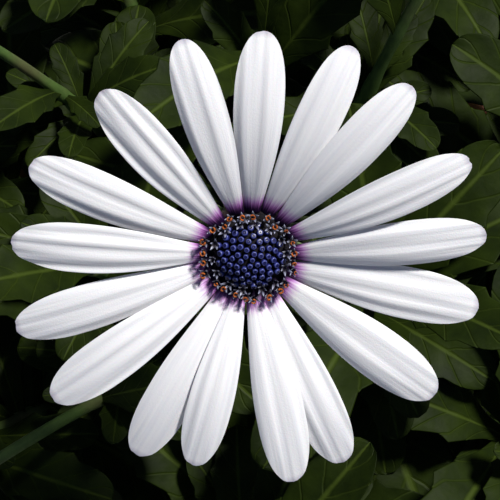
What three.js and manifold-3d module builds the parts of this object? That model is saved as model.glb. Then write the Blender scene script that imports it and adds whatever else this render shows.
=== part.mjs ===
// A potted cape marigold: one open white bloom and three buds over a mound of toothed leaves, in a clay pot.
// Millimetres, +Z up. The origin is the middle of the pot's foot, on the surface that it stands on.

import * as THREE from 'three';
import { mergeVertices } from 'three/addons/utils/BufferGeometryUtils.js';
import Module from 'manifold-3d';

const wasm = await Module();
wasm.setup();

const DEG = Math.PI / 180;
const GOLDEN_TURN = 137.508 * DEG;
const GAP = 0.3; // left between pieces that touch

// Pot: plain thrown clay, a band at the rim, small drain holes round a solid middle
const POT = { height: 100, rim: 60, band: 22, belowBand: 54.5, foot: 40, floor: 7, mouth: 54.3, well: 36 };
const POT_FOOT_ROUND = 1.5;
const POT_WELL_ROUND = 3;
const POT_LIP = 2.5; // from the mouth's edge up to the top of the lip
const DRAIN = { radius: 4, from: 22, count: 3 };
const SOIL = { top: 87, dome: 3, lump: 0.8 };

// Bloom: its middle, how far it leans to the front, and its rings, as radius and height along its axis
const BLOOM = { x: 0, y: -24, z: 214, lean: 31 * DEG };
const RING = { inner: 4.7, outer: 7, low: -1.2, high: 0.4 };
const CUP = { socket: -3.9, side: [[2.7, -6.4], [5.2, -4.9], [6.8, -2.7], [6.8, -1.5]], crown: -1.5 };
const DOME = { radius: 4.9, low: 0.7, edge: 1.3, apex: 4 };
const KNOBS = { count: 37, radius: 0.72, tall: 1.3, within: 4.55, sunk: 0.1 };
const CROWN = { inner: 5.4, outer: 6.2, low: 1, high: 1.6 };
const FLORETS = { count: 22, tall: 2.6, foot: 0.36, tip: 0.62, lean: 14, from: 1.2 };
const BLOOM_BRACTS = { count: 14, from: 4.2, height: -4.3, pitch: 44, bend: 24, length: 7.6, width: 1.9 };

// Ray florets, from the top one clockwise. foot and tip: degrees round the axis from +X of their two ends;
// reach: from the axis to the tip; width: the widest; lift: degrees that it stands above the ring's plane.
const RAY = { from: 5.4, thick: 0.9, pitch: 32, bend: 44, widest: 0.66, footWidth: 0.42 };
const RAY_SECTION = { hollow: 0.16, ridge: 0.05 }; // shares of half the width
const RAYS = [
  { foot: 86, tip: 86.6, reach: 31.9, width: 6.9, lift: 0 },
  { foot: 66, tip: 64.8, reach: 32.5, width: 6.4, lift: -3 },
  { foot: 44, tip: 48.3, reach: 32.7, width: 6.4, lift: 0 },
  { foot: 23, tip: 25.9, reach: 33.1, width: 6.2, lift: 2 },
  { foot: -3, tip: 6.6, reach: 32.6, width: 6.4, lift: 0 },
  { foot: -29, tip: -13, reach: 32.6, width: 7.4, lift: -3 },
  { foot: -48, tip: -36.9, reach: 32.4, width: 7.5, lift: 0 },
  { foot: -66, tip: -66, reach: 32.8, width: 7.1, lift: -2 },
  { foot: -86, tip: -79, reach: 32.8, width: 6.9, lift: 1 },
  { foot: -104, tip: -105, reach: 30.7, width: 6.3, lift: 2 },
  { foot: -119, tip: -119, reach: 33, width: 6.9, lift: -2 },
  { foot: -138, tip: -144.3, reach: 33.8, width: 7.1, lift: 1 },
  { foot: -157, tip: -162.9, reach: 34, width: 6.6, lift: -2 },
  { foot: -177.5, tip: 175, reach: 32.7, width: 7, lift: 1 },
  { foot: 159.5, tip: 155.7, reach: 32.7, width: 6.6, lift: -1 },
  { foot: 136, tip: 130.4, reach: 31, width: 7, lift: 1 },
  { foot: 107, tip: 106.2, reach: 32.3, width: 6.4, lift: 3 },
];

// Stems: where each leaves the soil, the height that it climbs towards before it leans, and its tip
const STEM_DEPTH = 12;
const HOLE_ROOM = 1.1; // between a stem and the side of its hole
const SHOOT_RINGS = [
  { count: 3, at: 85, foot: 17, tip: 29, top: 160 },
  { count: 7, at: 64, foot: 36, tip: 69, top: 143 },
];
const SHOOT_UPRIGHT = 0.6; // share of its height that a shoot climbs straight towards
const SHOOT_STEM = 1.8;
const BLOOM_STALK = 1.5;
const BLOOM_STALK_FOOT = [0, 4];
const BLOOM_STALK_RISE = [0, 5, 130];
const BLOOM_NECK = 48; // the length behind the bloom in which its stalk turns into the bloom's axis
const BUD_STALK = 1.2;
const BUDS = [
  { foot: [-4, -14], pull: 142, tip: [-52, -57, 181], open: true },
  { foot: [13, 12], pull: 160, tip: [40, 46, 194], open: true },
  { foot: [-17, 16], pull: 150, tip: [-53, 25, 183], open: false },
];

// Leaves: half the width along the leaf, as a share of the widest, with two teeth on each side
const LEAF_EDGE = [
  [0, 0.18], [0.22, 0.38], [0.47, 0.97], [0.54, 0.8], [0.7, 1], [0.77, 0.77], [1, 0.24],
];
const LEAF = { long: 55, short: 30, slim: 0.37, thick: 1.2, fold: 0.28 };
const LEAF_PITCH = { low: 22, top: 66 };
const LEAF_BEND = { low: 58, top: 44 };
const ON_SHOOT = { leaves: 9, size: 1, low: 0.3, top: 0.985 };
const ON_STALK = { leaves: 3, size: 0.7, low: 0.22, top: 0.66 };
const CLEAR = { leaves: 4.6, sameStem: 2.4, stems: 5, pot: 4 };
const TRIES = { most: 14, turn: 0.35, turnMost: 8, tilt: 10, tiltMore: 5, shrink: 0.03 };
const LEAF_SEED = 1;

// Buds, along their own axis from the stalk's tip: a cup of bracts, and in an open one furled ray florets
const BUD_TOP = 6;
const OPEN_CUP = { socket: 0.4, side: [[2.5, -2], [2.5, 0.7], [1.5, 2.4], [1.5, BUD_TOP]], crown: BUD_TOP };
const CLOSED_CUP = { socket: 0.4, side: [[2.5, -2], [2.5, 0.7], [2.3, 4], [1.6, 7.6]], crown: 9 };
const BUD_BRACTS = { count: 8, from: 2.2, height: -0.4, width: 1.8 };
const OPEN_BRACTS = { ...BUD_BRACTS, pitch: 64, bend: -24, length: 10 };
const CLOSED_BRACTS = { ...BUD_BRACTS, pitch: 58, bend: -58, length: 10.5 };
const FURLED = { count: 6, from: 1.5, sunk: 0.6, pitch: 68, bend: -46, roll: 16, length: 12.5, width: 3 };
const FURLED_CORE = { radius: 2, foot: 1.6, tall: 11 };
const BRACT_THICK = 0.8; // of a bract or a furled floret

const mix = (a, b, share) => a + (b - a) * share;
const polar = (radius, angle, z) => new THREE.Vector3(radius * Math.cos(angle), radius * Math.sin(angle), z);

// Seeded draw between 0 and 1
let draw = LEAF_SEED;
function random() {
  draw = (draw * 1664525 + 1013904223) % 4294967296;
  return draw / 4294967296;
}

// A closed geometry as a solid that can be joined and cut
function solid(geometry) {
  geometry.deleteAttribute('normal');
  geometry.deleteAttribute('uv');
  const merged = mergeVertices(geometry, 1e-4);
  const mesh = new wasm.Mesh({
    numProp: 3,
    vertProperties: new Float32Array(merged.attributes.position.array),
    triVerts: new Uint32Array(merged.index.array),
  });
  return new wasm.Manifold(mesh);
}

// Solids joined in one body: what they seal in is filled, and a loose scrap is dropped
function fused(pieces) {
  const whole = pieces.reduce((sum, piece) => sum.add(piece));
  return whole.decompose().reduce((largest, body) => (body.volume() > largest.volume() ? body : largest));
}

function meshOf(name, body, material) {
  const { vertProperties, triVerts } = body.getMesh();
  const geometry = new THREE.BufferGeometry();
  geometry.setAttribute('position', new THREE.BufferAttribute(new Float32Array(vertProperties), 3));
  geometry.setIndex(new THREE.BufferAttribute(new Uint32Array(triVerts), 1));
  geometry.computeVertexNormals();
  const mesh = new THREE.Mesh(geometry, material);
  mesh.name = name;
  return mesh;
}

// Every vertex of a geometry moved by a formula
function reshape(geometry, place) {
  const position = geometry.attributes.position;
  for (let i = 0; i < position.count; i += 1) {
    const point = place(position.getX(i), position.getY(i), position.getZ(i));
    position.setXYZ(i, point.x, point.y, point.z);
  }
  return geometry;
}

// A turned piece from its outline of [radius, height] points, standing on Z
function turned(outline, segments) {
  const points = outline.map(([radius, height]) => new THREE.Vector2(radius, height));
  return new THREE.LatheGeometry(points, segments).rotateX(Math.PI / 2);
}

// A round bar of few sides along a curve
function bar(curve, radius, sides, steps) {
  const corners = [];
  for (let i = 0; i < sides; i += 1) {
    const angle = (2 * Math.PI * i) / sides;
    corners.push(new THREE.Vector2(radius * Math.cos(angle), radius * Math.sin(angle)));
  }
  const section = new THREE.Shape(corners);
  return solid(new THREE.ExtrudeGeometry(section, { steps, bevelEnabled: false, extrudePath: curve }));
}

// A point of a blade. along runs from the root to the tip, across from one edge to the other (-1 to 1) and
// face from the underside to the top (-1 to 1). The rib sets out at a pitch and bends down evenly.
function bladePoint(blade, along, across, face) {
  const slope = blade.pitch - blade.bend * along;
  const run = (blade.length * (Math.sin(blade.pitch) - Math.sin(slope))) / blade.bend;
  const rise = (blade.length * (Math.cos(slope) - Math.cos(blade.pitch))) / blade.bend;
  const half = blade.half(along);
  const flat = across * half;
  const raised = blade.arch(across) * half + (face * blade.thick) / 2;
  const side = flat * Math.cos(blade.roll) - raised * Math.sin(blade.roll);
  const lift = flat * Math.sin(blade.roll) + raised * Math.cos(blade.roll);
  const out = run - lift * Math.sin(slope);
  return new THREE.Vector3(
    blade.root.x + out * Math.cos(blade.heading) - side * Math.sin(blade.heading),
    blade.root.y + out * Math.sin(blade.heading) + side * Math.cos(blade.heading),
    blade.root.z + rise + lift * Math.cos(slope),
  );
}

// A blade is a cylinder pressed flat and bent: its rows run along the rib, its sides across it
function bladeSolid(blade, sides, rows) {
  const steps = rows.length - 1;
  const tube = new THREE.CylinderGeometry(1, 1, 1, sides, steps);
  return solid(reshape(tube, (x, y, z) => bladePoint(blade, rows[Math.round((y + 0.5) * steps)], -x, z)));
}

const evenRows = (steps) => Array.from({ length: steps + 1 }, (_, i) => i / steps);

// Pot and soil
const potOutline = [
  [0, 0], [POT.foot - POT_FOOT_ROUND, 0], [POT.foot, POT_FOOT_ROUND],
  [POT.belowBand, POT.height - POT.band - 1],
  [POT.rim - 2.4, POT.height - POT.band], [POT.rim - 1.6, POT.height - POT.band + 1.2],
  [POT.rim, POT.height - 3.5], [POT.rim - 0.9, POT.height - 0.8], [POT.rim - 2.8, POT.height],
  [POT.mouth + 1, POT.height - 0.6], [POT.mouth, POT.height - POT_LIP],
  [POT.well, POT.floor + POT_WELL_ROUND], [POT.well - 4, POT.floor], [0, POT.floor],
];

function drainHole(index) {
  const middle = polar(DRAIN.from, (2 * Math.PI * index) / DRAIN.count, POT.floor / 2);
  const plug = new THREE.CylinderGeometry(DRAIN.radius, DRAIN.radius, POT.floor + 4, 16);
  return solid(plug.rotateX(Math.PI / 2).translate(middle.x, middle.y, middle.z));
}

function makePot() {
  let pot = solid(turned(potOutline, 36));
  for (let i = 0; i < DRAIN.count; i += 1) pot = pot.subtract(drainHole(i));
  return pot;
}

function wellRadius(z) {
  const low = POT.floor + POT_WELL_ROUND;
  return mix(POT.well, POT.mouth, (z - low) / (POT.height - POT_LIP - low));
}

function makeSoil(stems) {
  const edge = wellRadius(SOIL.top) - 2 * GAP;
  const rings = [1, 0.75, 0.4, 0];
  const crumb = rings.map((share) => [edge * share, SOIL.top + SOIL.dome * (1 - share * share)]);
  const outline = [
    [0, POT.floor + GAP], [POT.well - 4.2, POT.floor + GAP],
    [POT.well - 2 * GAP, POT.floor + POT_WELL_ROUND], ...crumb,
  ];
  const heap = reshape(turned(outline, 22), (x, y, z) => {
    const lumpy = z > SOIL.top + 0.1 ? SOIL.lump * Math.sin(x / 3.1 + 1) * Math.cos(y / 3.7) : 0;
    return new THREE.Vector3(x, y, z + lumpy);
  });
  let soil = solid(heap);
  for (const stem of stems) {
    const foot = stem.curve.getPoint(0);
    const deep = STEM_DEPTH + 2 * GAP;
    const hole = new THREE.CylinderGeometry(stem.radius + HOLE_ROOM, stem.radius + HOLE_ROOM, 2 * deep, 7);
    hole.rotateX(Math.PI / 2).translate(foot.x, foot.y, foot.z - 2 * GAP + deep);
    soil = soil.subtract(solid(hole));
  }
  return soil;
}

// Stems: shoots in two rings, the bloom's stalk, and a stalk for each bud
function shootStems() {
  return SHOOT_RINGS.flatMap((ring) => Array.from({ length: ring.count }, (_, i) => {
    const angle = ring.at * DEG + (2 * Math.PI * i) / ring.count;
    const foot = polar(ring.foot, angle, SOIL.top - STEM_DEPTH);
    const pull = polar(ring.foot, angle, mix(SOIL.top, ring.top, SHOOT_UPRIGHT));
    const tip = polar(ring.tip, angle, ring.top);
    const curve = new THREE.QuadraticBezierCurve3(foot, pull, tip);
    return { kind: 'shoot', row: ON_SHOOT, curve, radius: SHOOT_STEM, turn: angle };
  }));
}

function bloomStem() {
  const axis = new THREE.Vector3(0, -Math.sin(BLOOM.lean), Math.cos(BLOOM.lean));
  const middle = new THREE.Vector3(BLOOM.x, BLOOM.y, BLOOM.z);
  const end = middle.clone().addScaledVector(axis, CUP.socket - GAP);
  const pull = middle.clone().addScaledVector(axis, -BLOOM_NECK);
  const foot = new THREE.Vector3(...BLOOM_STALK_FOOT, SOIL.top - STEM_DEPTH);
  const rise = new THREE.Vector3(...BLOOM_STALK_RISE);
  const curve = new THREE.CubicBezierCurve3(foot, rise, pull, end);
  return { kind: 'stalk', row: ON_STALK, curve, radius: BLOOM_STALK, turn: 0.4 };
}

function budStem(bud, index) {
  const foot = new THREE.Vector3(...bud.foot, SOIL.top - STEM_DEPTH);
  const pull = foot.clone().setZ(bud.pull);
  const curve = new THREE.QuadraticBezierCurve3(foot, pull, new THREE.Vector3(...bud.tip));
  return { kind: 'bud', row: ON_STALK, curve, radius: BUD_STALK, turn: 2 * index };
}

// Leaves: placed from the tips of the stems down, each where it meets no leaf or stem set before it
function leafHalf(along, width) {
  const next = Math.max(1, LEAF_EDGE.findIndex(([place]) => place >= along));
  const [low, narrow] = LEAF_EDGE[next - 1];
  const [high, wide] = LEAF_EDGE[next];
  return (width / 2) * mix(narrow, wide, (along - low) / (high - low));
}

function leafBlade(stem, step, turn, tilt, trim) {
  const up = 1 - step / (stem.row.leaves - 1);
  const length = mix(LEAF.long, LEAF.short, up ** 2) * stem.row.size * trim;
  const width = length * LEAF.slim;
  return {
    root: stem.curve.getPoint(mix(stem.row.low, stem.row.top, up)),
    heading: stem.turn + GOLDEN_TURN * step + turn,
    pitch: (mix(LEAF_PITCH.low, LEAF_PITCH.top, up ** 1.6) + tilt) * DEG,
    bend: mix(LEAF_BEND.low, LEAF_BEND.top, up) * DEG,
    length,
    roll: 0,
    thick: LEAF.thick,
    half: (along) => leafHalf(along, width),
    arch: (across) => LEAF.fold * Math.abs(across),
  };
}

function samplesOf(blade) {
  const points = [];
  for (const along of [0.2, 0.3, 0.4, 0.5, 0.6, 0.7, 0.8, 0.9, 1]) {
    for (const across of [-0.95, -0.5, 0, 0.5, 0.95]) points.push(bladePoint(blade, along, across, 0));
  }
  return points;
}

function clearOfPot(point) {
  const radius = Math.hypot(point.x, point.y);
  if (radius < POT.mouth - CLEAR.pot) return point.z > SOIL.top + SOIL.dome + CLEAR.pot;
  return point.z > POT.height + CLEAR.pot || (radius > POT.rim + CLEAR.pot && point.z > POT.height / 2);
}

function placeLeaves(stems) {
  const stemPoints = stems.flatMap((stem, owner) => (
    stem.curve.getPoints(48).map((point) => ({ owner, point }))
  ));
  const leafPoints = [];
  const isClear = (blade, owner) => samplesOf(blade).every((point) => (
    clearOfPot(point)
    && stemPoints.every((other) => other.owner === owner || other.point.distanceTo(point) > CLEAR.stems)
    && leafPoints.every((other) => (
      other.point.distanceTo(point) > (other.owner === owner ? CLEAR.sameStem : CLEAR.leaves)
    ))
  ));
  for (let step = 0; step < ON_SHOOT.leaves; step += 1) {
    stems.forEach((stem, owner) => {
      if (step >= stem.row.leaves) return;
      for (let attempt = 0; attempt < TRIES.most; attempt += 1) {
        const turn = (random() - 0.5) * Math.min(attempt, TRIES.turnMost) * TRIES.turn;
        const tilt = (random() - 0.5) * (TRIES.tilt + TRIES.tiltMore * attempt);
        const blade = leafBlade(stem, step, turn, tilt, 1 - TRIES.shrink * attempt);
        if (!isClear(blade, owner)) continue;
        stem.leaves.push(blade);
        samplesOf(blade).forEach((point) => leafPoints.push({ owner, point }));
        break;
      }
    });
  }
}

function leafyStem(stem) {
  const rows = LEAF_EDGE.map(([place]) => place);
  const stalk = bar(stem.curve, stem.radius, 6, stem.kind === 'shoot' ? 7 : 10);
  return fused([stalk, ...stem.leaves.map((blade) => bladeSolid(blade, 4, rows))]);
}

// Bloom, in its own frame: its axis is Z and the ring of ray florets lies in the plane z = 0
function rayHalf(along, width) {
  const share = along / RAY.widest;
  if (share < 1) return (width / 2) * mix(RAY.footWidth, 1, Math.sin((Math.PI / 2) * share));
  return (width / 2) * Math.max(0.2, (1 - ((along - RAY.widest) / (1 - RAY.widest)) ** 2.4) ** (1 / 2.2));
}

function rayBlade(ray) {
  const root = polar(RAY.from, ray.foot * DEG, (RING.low + RING.high) / 2);
  const tip = polar(ray.reach, ray.tip * DEG, 0);
  const across = tip.clone().sub(root).setZ(0);
  const pitch = (RAY.pitch + ray.lift) * DEG;
  const bend = RAY.bend * DEG;
  return {
    root,
    heading: Math.atan2(across.y, across.x),
    pitch,
    bend,
    length: (across.length() * bend) / (Math.sin(pitch) - Math.sin(pitch - bend)), // along the arc
    roll: 0,
    thick: RAY.thick,
    half: (along) => rayHalf(along, ray.width),
    arch: (place) => (
      RAY_SECTION.ridge * Math.sin(2 * Math.PI * place) ** 2 - RAY_SECTION.hollow * place ** 2
    ),
  };
}

function makeRays() {
  const band = solid(turned([
    [RING.inner, RING.low], [RING.outer, RING.low], [RING.outer, RING.high],
    [RING.inner, RING.high], [RING.inner, RING.low],
  ], RAYS.length));
  const rows = [0, 0.25, 0.5, 0.7, 0.86, 0.96, 1];
  return fused([band, ...RAYS.map((ray) => bladeSolid(rayBlade(ray), 8, rows))]);
}

const domeHeight = (radius) => mix(DOME.apex, DOME.edge, (radius / DOME.radius) ** 2);

function makeDisc() {
  const plug = RING.inner - GAP;
  const arc = [1, 0.7, 0.4, 0].map((share) => [DOME.radius * share, domeHeight(DOME.radius * share)]);
  const outline = [[0, RING.low], [plug, RING.low], [plug, DOME.low], [DOME.radius, DOME.low], ...arc];
  const knobs = Array.from({ length: KNOBS.count }, (_, i) => {
    const radius = KNOBS.within * Math.sqrt((i + 0.5) / KNOBS.count);
    const middle = polar(radius, GOLDEN_TURN * i, domeHeight(radius) - KNOBS.sunk);
    const knob = new THREE.OctahedronGeometry(KNOBS.radius, 0).scale(1, 1, KNOBS.tall);
    return solid(knob.translate(middle.x, middle.y, middle.z));
  });
  return fused([solid(turned(outline, 12)), ...knobs]);
}

function makeCrown() {
  const band = solid(turned([
    [CROWN.inner, CROWN.low], [CROWN.outer, CROWN.low], [CROWN.outer, CROWN.high],
    [CROWN.inner, CROWN.high], [CROWN.inner, CROWN.low],
  ], FLORETS.count));
  const middle = (CROWN.inner + CROWN.outer) / 2;
  const florets = Array.from({ length: FLORETS.count }, (_, i) => {
    const angle = (2 * Math.PI * (i + 0.5)) / FLORETS.count;
    const tube = new THREE.CylinderGeometry(1, 1, FLORETS.tall, 5, 2).translate(0, FLORETS.tall / 2, 0);
    const club = reshape(tube, (x, y, z) => {
      const thick = mix(FLORETS.foot, FLORETS.tip, (y / FLORETS.tall) ** 2);
      return new THREE.Vector3(x * thick, y, z * thick);
    });
    club.rotateX(Math.PI / 2).rotateY(FLORETS.lean * DEG);
    return solid(club.translate(middle, 0, FLORETS.from).rotateZ(angle));
  });
  return fused([band, ...florets]);
}

// A cup of narrow bracts under a head, with a socket for the stalk's end
function bractCup(cup, stalk, bract) {
  const socket = stalk + 2 * GAP;
  const outline = [
    [0, cup.socket], [socket, cup.socket], [socket, cup.side[0][1]], ...cup.side, [0, cup.crown],
  ];
  const bracts = Array.from({ length: bract.count }, (_, i) => bladeSolid({
    root: polar(bract.from, (2 * Math.PI * i) / bract.count, bract.height),
    heading: (2 * Math.PI * i) / bract.count,
    pitch: bract.pitch * DEG,
    bend: bract.bend * DEG,
    length: bract.length,
    roll: 0,
    thick: BRACT_THICK,
    half: (along) => (bract.width / 2) * (1 - 0.85 * along ** 2),
    arch: () => 0,
  }, 4, evenRows(3)));
  return fused([solid(turned(outline, bract.count)), ...bracts]);
}

// Furled ray florets of an opening bud, wound a little round a slim core
function budRays() {
  const base = BUD_TOP + GAP;
  const core = solid(turned([
    [0, base], [FURLED_CORE.foot, base],
    [FURLED_CORE.radius, base + FURLED_CORE.tall / 3], [0, base + FURLED_CORE.tall],
  ], FURLED.count));
  const petals = Array.from({ length: FURLED.count }, (_, i) => bladeSolid({
    root: polar(FURLED.from, (2 * Math.PI * i) / FURLED.count, base + FURLED.sunk),
    heading: (2 * Math.PI * i) / FURLED.count,
    pitch: FURLED.pitch * DEG,
    bend: FURLED.bend * DEG,
    length: FURLED.length,
    roll: FURLED.roll * DEG,
    thick: BRACT_THICK,
    half: (along) => (FURLED.width / 2) * Math.sin(Math.PI * (0.2 + 0.72 * along)) ** 0.7,
    arch: (across) => -0.3 * across ** 2,
  }, 4, evenRows(4)));
  return fused([core, ...petals]);
}

// Assembly
const finish = (color, roughness) => new THREE.MeshStandardMaterial({ color, roughness, metalness: 0 });
const clay = finish(0xb5623f, 0.85);
const potting = finish(0x2e2119, 0.95);
const green = finish(0x3f6a34, 0.6);
const white = finish(0xf3f2f6, 0.55);
const blue = finish(0x23276b, 0.5);
const pollen = finish(0xb9601f, 0.8);
const violet = finish(0x7b5a92, 0.55);

const plant = new THREE.Group();
const stems = [...shootStems(), bloomStem(), ...BUDS.map(budStem)].map((stem) => ({ ...stem, leaves: [] }));
placeLeaves(stems);

plant.add(meshOf('pot', makePot(), clay));
plant.add(meshOf('soil', makeSoil(stems), potting));

const shoots = stems.filter((stem) => stem.kind === 'shoot');
shoots.forEach((stem, i) => plant.add(meshOf(`shoot_${i + 1}`, leafyStem(stem), green)));
plant.add(meshOf('bloom_stalk', leafyStem(stems.find((stem) => stem.kind === 'stalk')), green));

const bloom = new THREE.Group();
bloom.position.set(BLOOM.x, BLOOM.y, BLOOM.z);
bloom.rotation.x = BLOOM.lean;
bloom.add(meshOf('bloom_involucre', bractCup(CUP, BLOOM_STALK, BLOOM_BRACTS), green));
bloom.add(meshOf('bloom_rays', makeRays(), white));
bloom.add(meshOf('bloom_open_florets', makeCrown(), pollen));
bloom.add(meshOf('bloom_disc', makeDisc(), blue));
plant.add(bloom);

stems.filter((stem) => stem.kind === 'bud').forEach((stem, i) => {
  plant.add(meshOf(`bud_${i + 1}_stalk`, leafyStem(stem), green));
  const { open } = BUDS[i];
  const cup = bractCup(open ? OPEN_CUP : CLOSED_CUP, BUD_STALK, open ? OPEN_BRACTS : CLOSED_BRACTS);
  const bud = new THREE.Group();
  bud.position.copy(stem.curve.getPoint(1));
  bud.quaternion.setFromUnitVectors(new THREE.Vector3(0, 0, 1), stem.curve.getTangent(1));
  bud.add(meshOf(`bud_${i + 1}_bracts`, cup, green));
  if (open) bud.add(meshOf(`bud_${i + 1}_rays`, budRays(), violet));
  plant.add(bud);
});

export default plant;
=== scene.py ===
# %% [markdown]
# # A potted cape marigold
# One white bloom stands on a tall stalk over a mound of toothed leaves, with three buds beside it, in a
# plain clay pot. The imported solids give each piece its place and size. They are coarse, because collision
# needs few faces, so each is replaced here by a finer mesh that keeps its form. Three rules make nearly
# all of it: a blade that bends along its rib, a tube along a curve, and an outline turned round an axis.

# %% Load the solids
import math
from types import SimpleNamespace

import bpy
import numpy as np
from mathutils import Matrix, Vector, noise


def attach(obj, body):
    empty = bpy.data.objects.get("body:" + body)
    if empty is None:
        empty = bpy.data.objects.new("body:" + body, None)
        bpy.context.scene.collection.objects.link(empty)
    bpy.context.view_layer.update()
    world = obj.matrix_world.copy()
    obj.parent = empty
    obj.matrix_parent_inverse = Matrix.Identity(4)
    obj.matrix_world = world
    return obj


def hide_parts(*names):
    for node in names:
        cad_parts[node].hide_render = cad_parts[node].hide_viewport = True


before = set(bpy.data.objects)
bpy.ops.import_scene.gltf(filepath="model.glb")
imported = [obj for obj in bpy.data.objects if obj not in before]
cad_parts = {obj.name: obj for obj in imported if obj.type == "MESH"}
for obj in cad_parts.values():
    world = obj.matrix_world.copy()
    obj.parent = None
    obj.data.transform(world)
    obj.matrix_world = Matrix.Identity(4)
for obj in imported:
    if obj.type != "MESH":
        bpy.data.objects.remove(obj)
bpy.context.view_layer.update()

# %% [markdown]
# ## Units and draws
# All sizes below are in millimetres and angles in degrees where they are named, and meshes turn to metres
# as they are made. Nature's small irregularity comes from seeded draws, so every run grows the same
# plant.

# %% Units, mixes and draws
MM = 0.001
GOLDEN_TURN = math.radians(137.508)
TURN = 6.28  # radians in a turn, near enough for a random one
AXIS = 0.01  # an outline that closes on the axis it is turned about stops this near to it


def mix(a, b, share):
    return a + (b - a) * share


def polar(radius, angle, z=0.0):
    return np.array([radius * math.cos(angle), radius * math.sin(angle), z])


def draws(seed):
    """Seeded draws between 0 and 1, without end."""
    while True:
        seed = (seed * 1664525 + 1013904223) % 2**32
        yield seed / 2**32


print("a seed's first draws:", [round(value, 3) for value, _ in zip(draws(1), range(3))])

# %% [markdown]
# ## Camera, floor and lights
# The photograph looks down on the bloom from just in front, close and with a long lens, so petals at the
# back and front are nearly the same size. The camera stands 75 degrees above the horizon. The key light
# stands high, to the right and a little behind, and is small enough that petals cast an edged shadow on
# each other; a pale blue sky fills the shade. A constraint could aim the camera, but a matrix of its
# three axes says plainly where it stands and looks.

# %% Camera
BLOOM = np.array([0.0, -24.0, 214.0])
BLOOM_LEAN = math.radians(31)
CAMERA_RISE = math.radians(75)
CAMERA_AWAY = 290
AIM = (0.07, 0.28)  # how far right of the bloom's middle and above it the camera aims
LENS, SENSOR = 150, 36

camera_back = np.array([0, -math.cos(CAMERA_RISE), math.sin(CAMERA_RISE)])
camera_up = np.array([0, math.sin(CAMERA_RISE), math.cos(CAMERA_RISE)])
camera_right = np.array([1.0, 0, 0])
camera_at = BLOOM + AIM[0] * camera_right + AIM[1] * camera_up + CAMERA_AWAY * camera_back
camera = bpy.data.objects.new("camera", bpy.data.cameras.new("camera"))
bpy.context.scene.collection.objects.link(camera)
camera.data.lens = LENS
camera.data.sensor_width = SENSOR
camera.matrix_world = Matrix.Translation(Vector(camera_at * MM)) @ Matrix(
    np.column_stack([camera_right, camera_up, camera_back])
).to_4x4()
bpy.context.scene.camera = camera
print("camera at, mm:", camera_at.round(1))

# %% Floor
FLOOR_HALF = 3000


def make_floor():
    mesh = bpy.data.meshes.new("floor")
    corners = [(-1, -1), (1, -1), (1, 1), (-1, 1)]
    mesh.from_pydata([(x * FLOOR_HALF * MM, y * FLOOR_HALF * MM, 0) for x, y in corners], [], [(0, 1, 2, 3)])
    floor = bpy.data.objects.new("floor", mesh)
    bpy.context.scene.collection.objects.link(floor)
    return floor


floor = make_floor()
print("floor, m across:", 2 * FLOOR_HALF * MM)

# %% Lights
KEY_TOWARDS = np.array([0.42, 0.35, 0.84])
KEY_AWAY = 1100
KEY_WIDTH = 170
KEY_WATTS = 17.5
KEY_COLOUR = (1.0, 0.975, 0.94)
SKY = (0.45, 0.62, 1.0)
SKY_LEVEL = 0.14


def make_lights():
    lamp = bpy.data.lights.new("key", "AREA")
    lamp.shape = "DISK"
    lamp.size = KEY_WIDTH * MM
    lamp.energy = KEY_WATTS
    lamp.color = KEY_COLOUR
    key = bpy.data.objects.new("key", lamp)
    bpy.context.scene.collection.objects.link(key)
    towards = Vector(KEY_TOWARDS).normalized()
    key.location = Vector(BLOOM * MM) + towards * KEY_AWAY * MM
    key.rotation_mode = "QUATERNION"
    key.rotation_quaternion = towards.to_track_quat("Z", "Y")
    key.visible_camera = False
    world = bpy.data.worlds.new("sky")
    world.use_nodes = True
    world.node_tree.nodes["Background"].inputs["Color"].default_value = (*SKY, 1)
    world.node_tree.nodes["Background"].inputs["Strength"].default_value = SKY_LEVEL
    bpy.context.scene.world = world
    bpy.context.scene.view_settings.view_transform = "Standard"
    print("key light at, m:", tuple(round(v, 2) for v in key.location))


make_lights()

# %% [markdown]
# ## Meshes from rings
# A petal, a stem, a floret and the pot are all the same kind of skin: rings of points, each joined to the
# next. Making them from arrays is fast, and each vertex keeps where it lies across and along its blade as
# UV, which the finishes use for ribs and for the dark foot of a petal. Curves with a bevel could make
# stems, but not petals, and one way for all keeps the pieces alike.

# %% A skin over rings
def skin(rings, uv, tones=None, flat=False):
    """A closed skin. Rings run anticlockwise as seen from the last; a flat end is closed like a seam."""
    count, sides = rings.shape[:2]
    here = np.arange(sides)
    there = (here + 1) % sides
    row = (np.arange(count - 1) * sides)[:, None]
    quads = np.stack([row + here, row + there, row + sides + there, row + sides + here], axis=-1)
    faces = quads.reshape(-1, 4).tolist()
    tone = np.tile(np.zeros(sides, int) if tones is None else tones, count - 1).tolist()
    last = (count - 1) * sides
    lids = [list(range(sides))[::-1]]
    if flat:
        for i in range(sides // 2):
            lid = [last + i, last + i + 1, last + sides - i - 1, last + (sides - i) % sides]
            lids.append(list(dict.fromkeys(lid)))
    else:
        lids.append(list(range(last, last + sides)))
    return SimpleNamespace(
        points=rings.reshape(-1, 3),
        faces=faces + lids,
        uv=np.broadcast_to(uv, (count, sides, 2)).reshape(-1, 2),
        tones=np.array(tone + [tone[0]] * len(lids)),
    )


print("four rings of six points make", len(skin(np.zeros((4, 6, 3)), np.zeros(2)).faces), "faces")


def moved(part, turn, place=(0, 0, 0)):
    """The part turned by a 3 by 3 matrix, then moved."""
    part.points = part.points @ np.asarray(turn).T + np.asarray(place)
    return part


def turn_about(axis, angle):
    return np.array(Matrix.Rotation(angle, 3, axis))


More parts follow.
